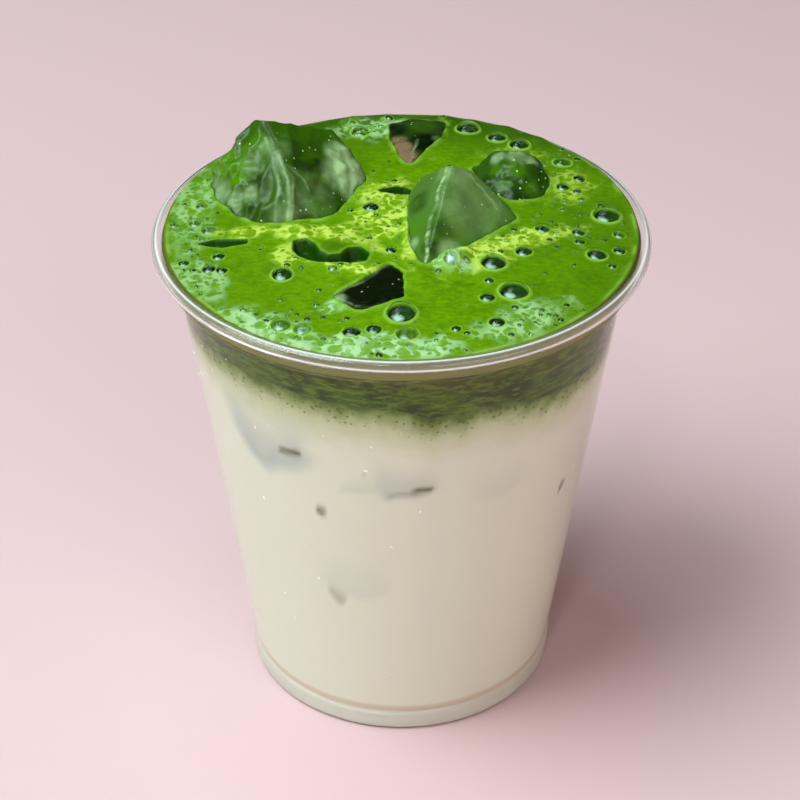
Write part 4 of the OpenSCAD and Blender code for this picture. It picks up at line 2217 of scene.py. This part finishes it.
@dataclass
class Dew:
    """Fine droplets on the outside of the cold cup."""

    shape: CupShape
    count: int = 120
    low: float = 12.0
    high: float = 94.0
    smallest: float = 0.13
    spread: float = 0.27
    flat: float = 0.45
    lean: float = -0.13

    def build(self) -> None:
        """Model one droplet and set its copies on the wall."""
        rng = np.random.default_rng(23)
        deselect_all()
        bpy.ops.mesh.primitive_uv_sphere_add(segments=8, ring_count=6, radius=MM)
        drop = bpy.context.active_object
        with whole_mesh():
            bpy.ops.transform.resize(value=(1.0, 1.0, self.flat))
        line = self.shape.wall_line(0.0)
        turns, places = [], []
        for _ in range(self.count):
            z = rng.uniform(self.low, self.high)
            angle = rng.uniform(0, 2 * math.pi)
            r = self.smallest + self.spread * rng.random() ** 3
            wall = float(np.interp(z, [p[1] for p in line], [p[0] for p in line]))
            out = Vector((math.cos(angle), math.sin(angle), self.lean)).normalized()
            along = Vector((-math.sin(angle), math.cos(angle), 0))
            up = out.cross(along)
            stretch = 1 + 0.6 * rng.random()
            turns.append(np.array([along * r, up * r * stretch, out * r]).T)
            places.append((wall * math.cos(angle), wall * math.sin(angle), z))
        dew = copies("dew", drop, turns, np.array(places))
        smooth(dew)
        settle(dew, CondensedWater().make())


# ------------------------------------------------------------------ studio


@dataclass
class Studio:
    """Pale floor, soft light from the left and the camera."""

    lens: float = 96.75
    camera_at: tuple[float, float, float] = (-0.26, -367.1, 313.3)
    camera_aim: tuple[float, float, float] = (-0.26, 0.0, 61.9)
    reach: float = 1.3
    lit_z: float = 0.05
    floor_size: float = 8.0
    room_tint: str = "#F6E2DE"
    room_light: float = 0.07

    def build(self) -> None:
        """Make the floor, the light and the camera."""
        deselect_all()
        bpy.ops.mesh.primitive_plane_add(size=self.floor_size)
        floor = bpy.context.active_object
        floor.name = "floor"
        floor.data.materials.append(PaleFloor().make())
        self.lamp("window", 288, 56, 15.0, "#F6FFFF")
        self.lamp("skylight", 270, 74, 9.9, "#E2F8FF")
        self.lamp("low_window", 292, 13, 7.1, "#F4FFF8")
        self.lamp("front", 0, 13, 1.4, "#FFF4E4")
        self.lamp("room", 34, 24, 6.2, "#FFFCFA")
        self.lamp("warm_wall", 78, 14, 2.8, "#FFBCA0")
        self.lamp("strip", 350, 50, 1.8, "#FFFFFF", 0.12)
        world = bpy.data.worlds.new("pale_room")
        world.use_nodes = True
        room = world.node_tree.nodes["Background"]
        room.inputs["Color"].default_value = linear(self.room_tint)
        room.inputs["Strength"].default_value = self.room_light
        bpy.context.scene.world = world
        bpy.context.scene.view_settings.view_transform = "Standard"
        self.camera()

    def lamp(
        self, name: str, turn: float, up: float, power: float, tint: str, width: float = 0.75
    ) -> None:
        """Add a round softbox that faces the cup.

        Args:
            name: the lamp's name.
            turn: its direction seen from above, from the front towards the right.
            up: its height in degrees.
            power: its power, in watts.
            tint: its colour.
            width: its width, as a share of its distance.
        """
        turn, up = math.radians(turn), math.radians(up)
        level = math.cos(up)
        way = Vector((math.sin(turn) * level, -math.cos(turn) * level, math.sin(up)))
        place = way * self.reach + Vector((0, 0, self.lit_z))
        bpy.ops.object.light_add(type="AREA", location=place)
        lamp = bpy.context.active_object
        lamp.name = name
        lamp.data.shape = "DISK"
        lamp.data.size = self.reach * width
        lamp.data.energy = power
        lamp.data.color = linear(tint)[:3]
        lamp.rotation_euler = (-way).to_track_quat("-Z", "Y").to_euler()

    def camera(self) -> None:
        """Add the camera, which looks down on the cup from the front."""
        at, aim = Vector(self.camera_at) * MM, Vector(self.camera_aim) * MM
        bpy.ops.object.camera_add(location=at)
        camera = bpy.context.active_object
        camera.name = "camera"
        camera.rotation_euler = (aim - at).to_track_quat("-Z", "Y").to_euler()
        camera.data.lens = self.lens
        camera.data.sensor_width = 36.0
        camera.data.clip_start = 0.01
        bpy.context.scene.camera = camera


def main() -> None:
    """Build the studio and the drink, piece by piece."""
    logging.basicConfig(level=logging.INFO, format="%(message)s")
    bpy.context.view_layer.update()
    shape = CupShape.from_frame()
    Studio().build()
    Cup(shape).build()
    edge = MatchaEdge()
    Milk(shape, edge).build()
    foam_low, foam_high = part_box("foam")
    Matcha(shape, edge, top=foam_low.z / MM).build()
    chunks = ice_chunks()
    for chunk in chunks:
        chunk.build()
    Foam(shape, foam_low.z / MM, foam_high.z / MM, chunks).build()
    Dew(shape).build()


if __name__ == "__main__":
    main()
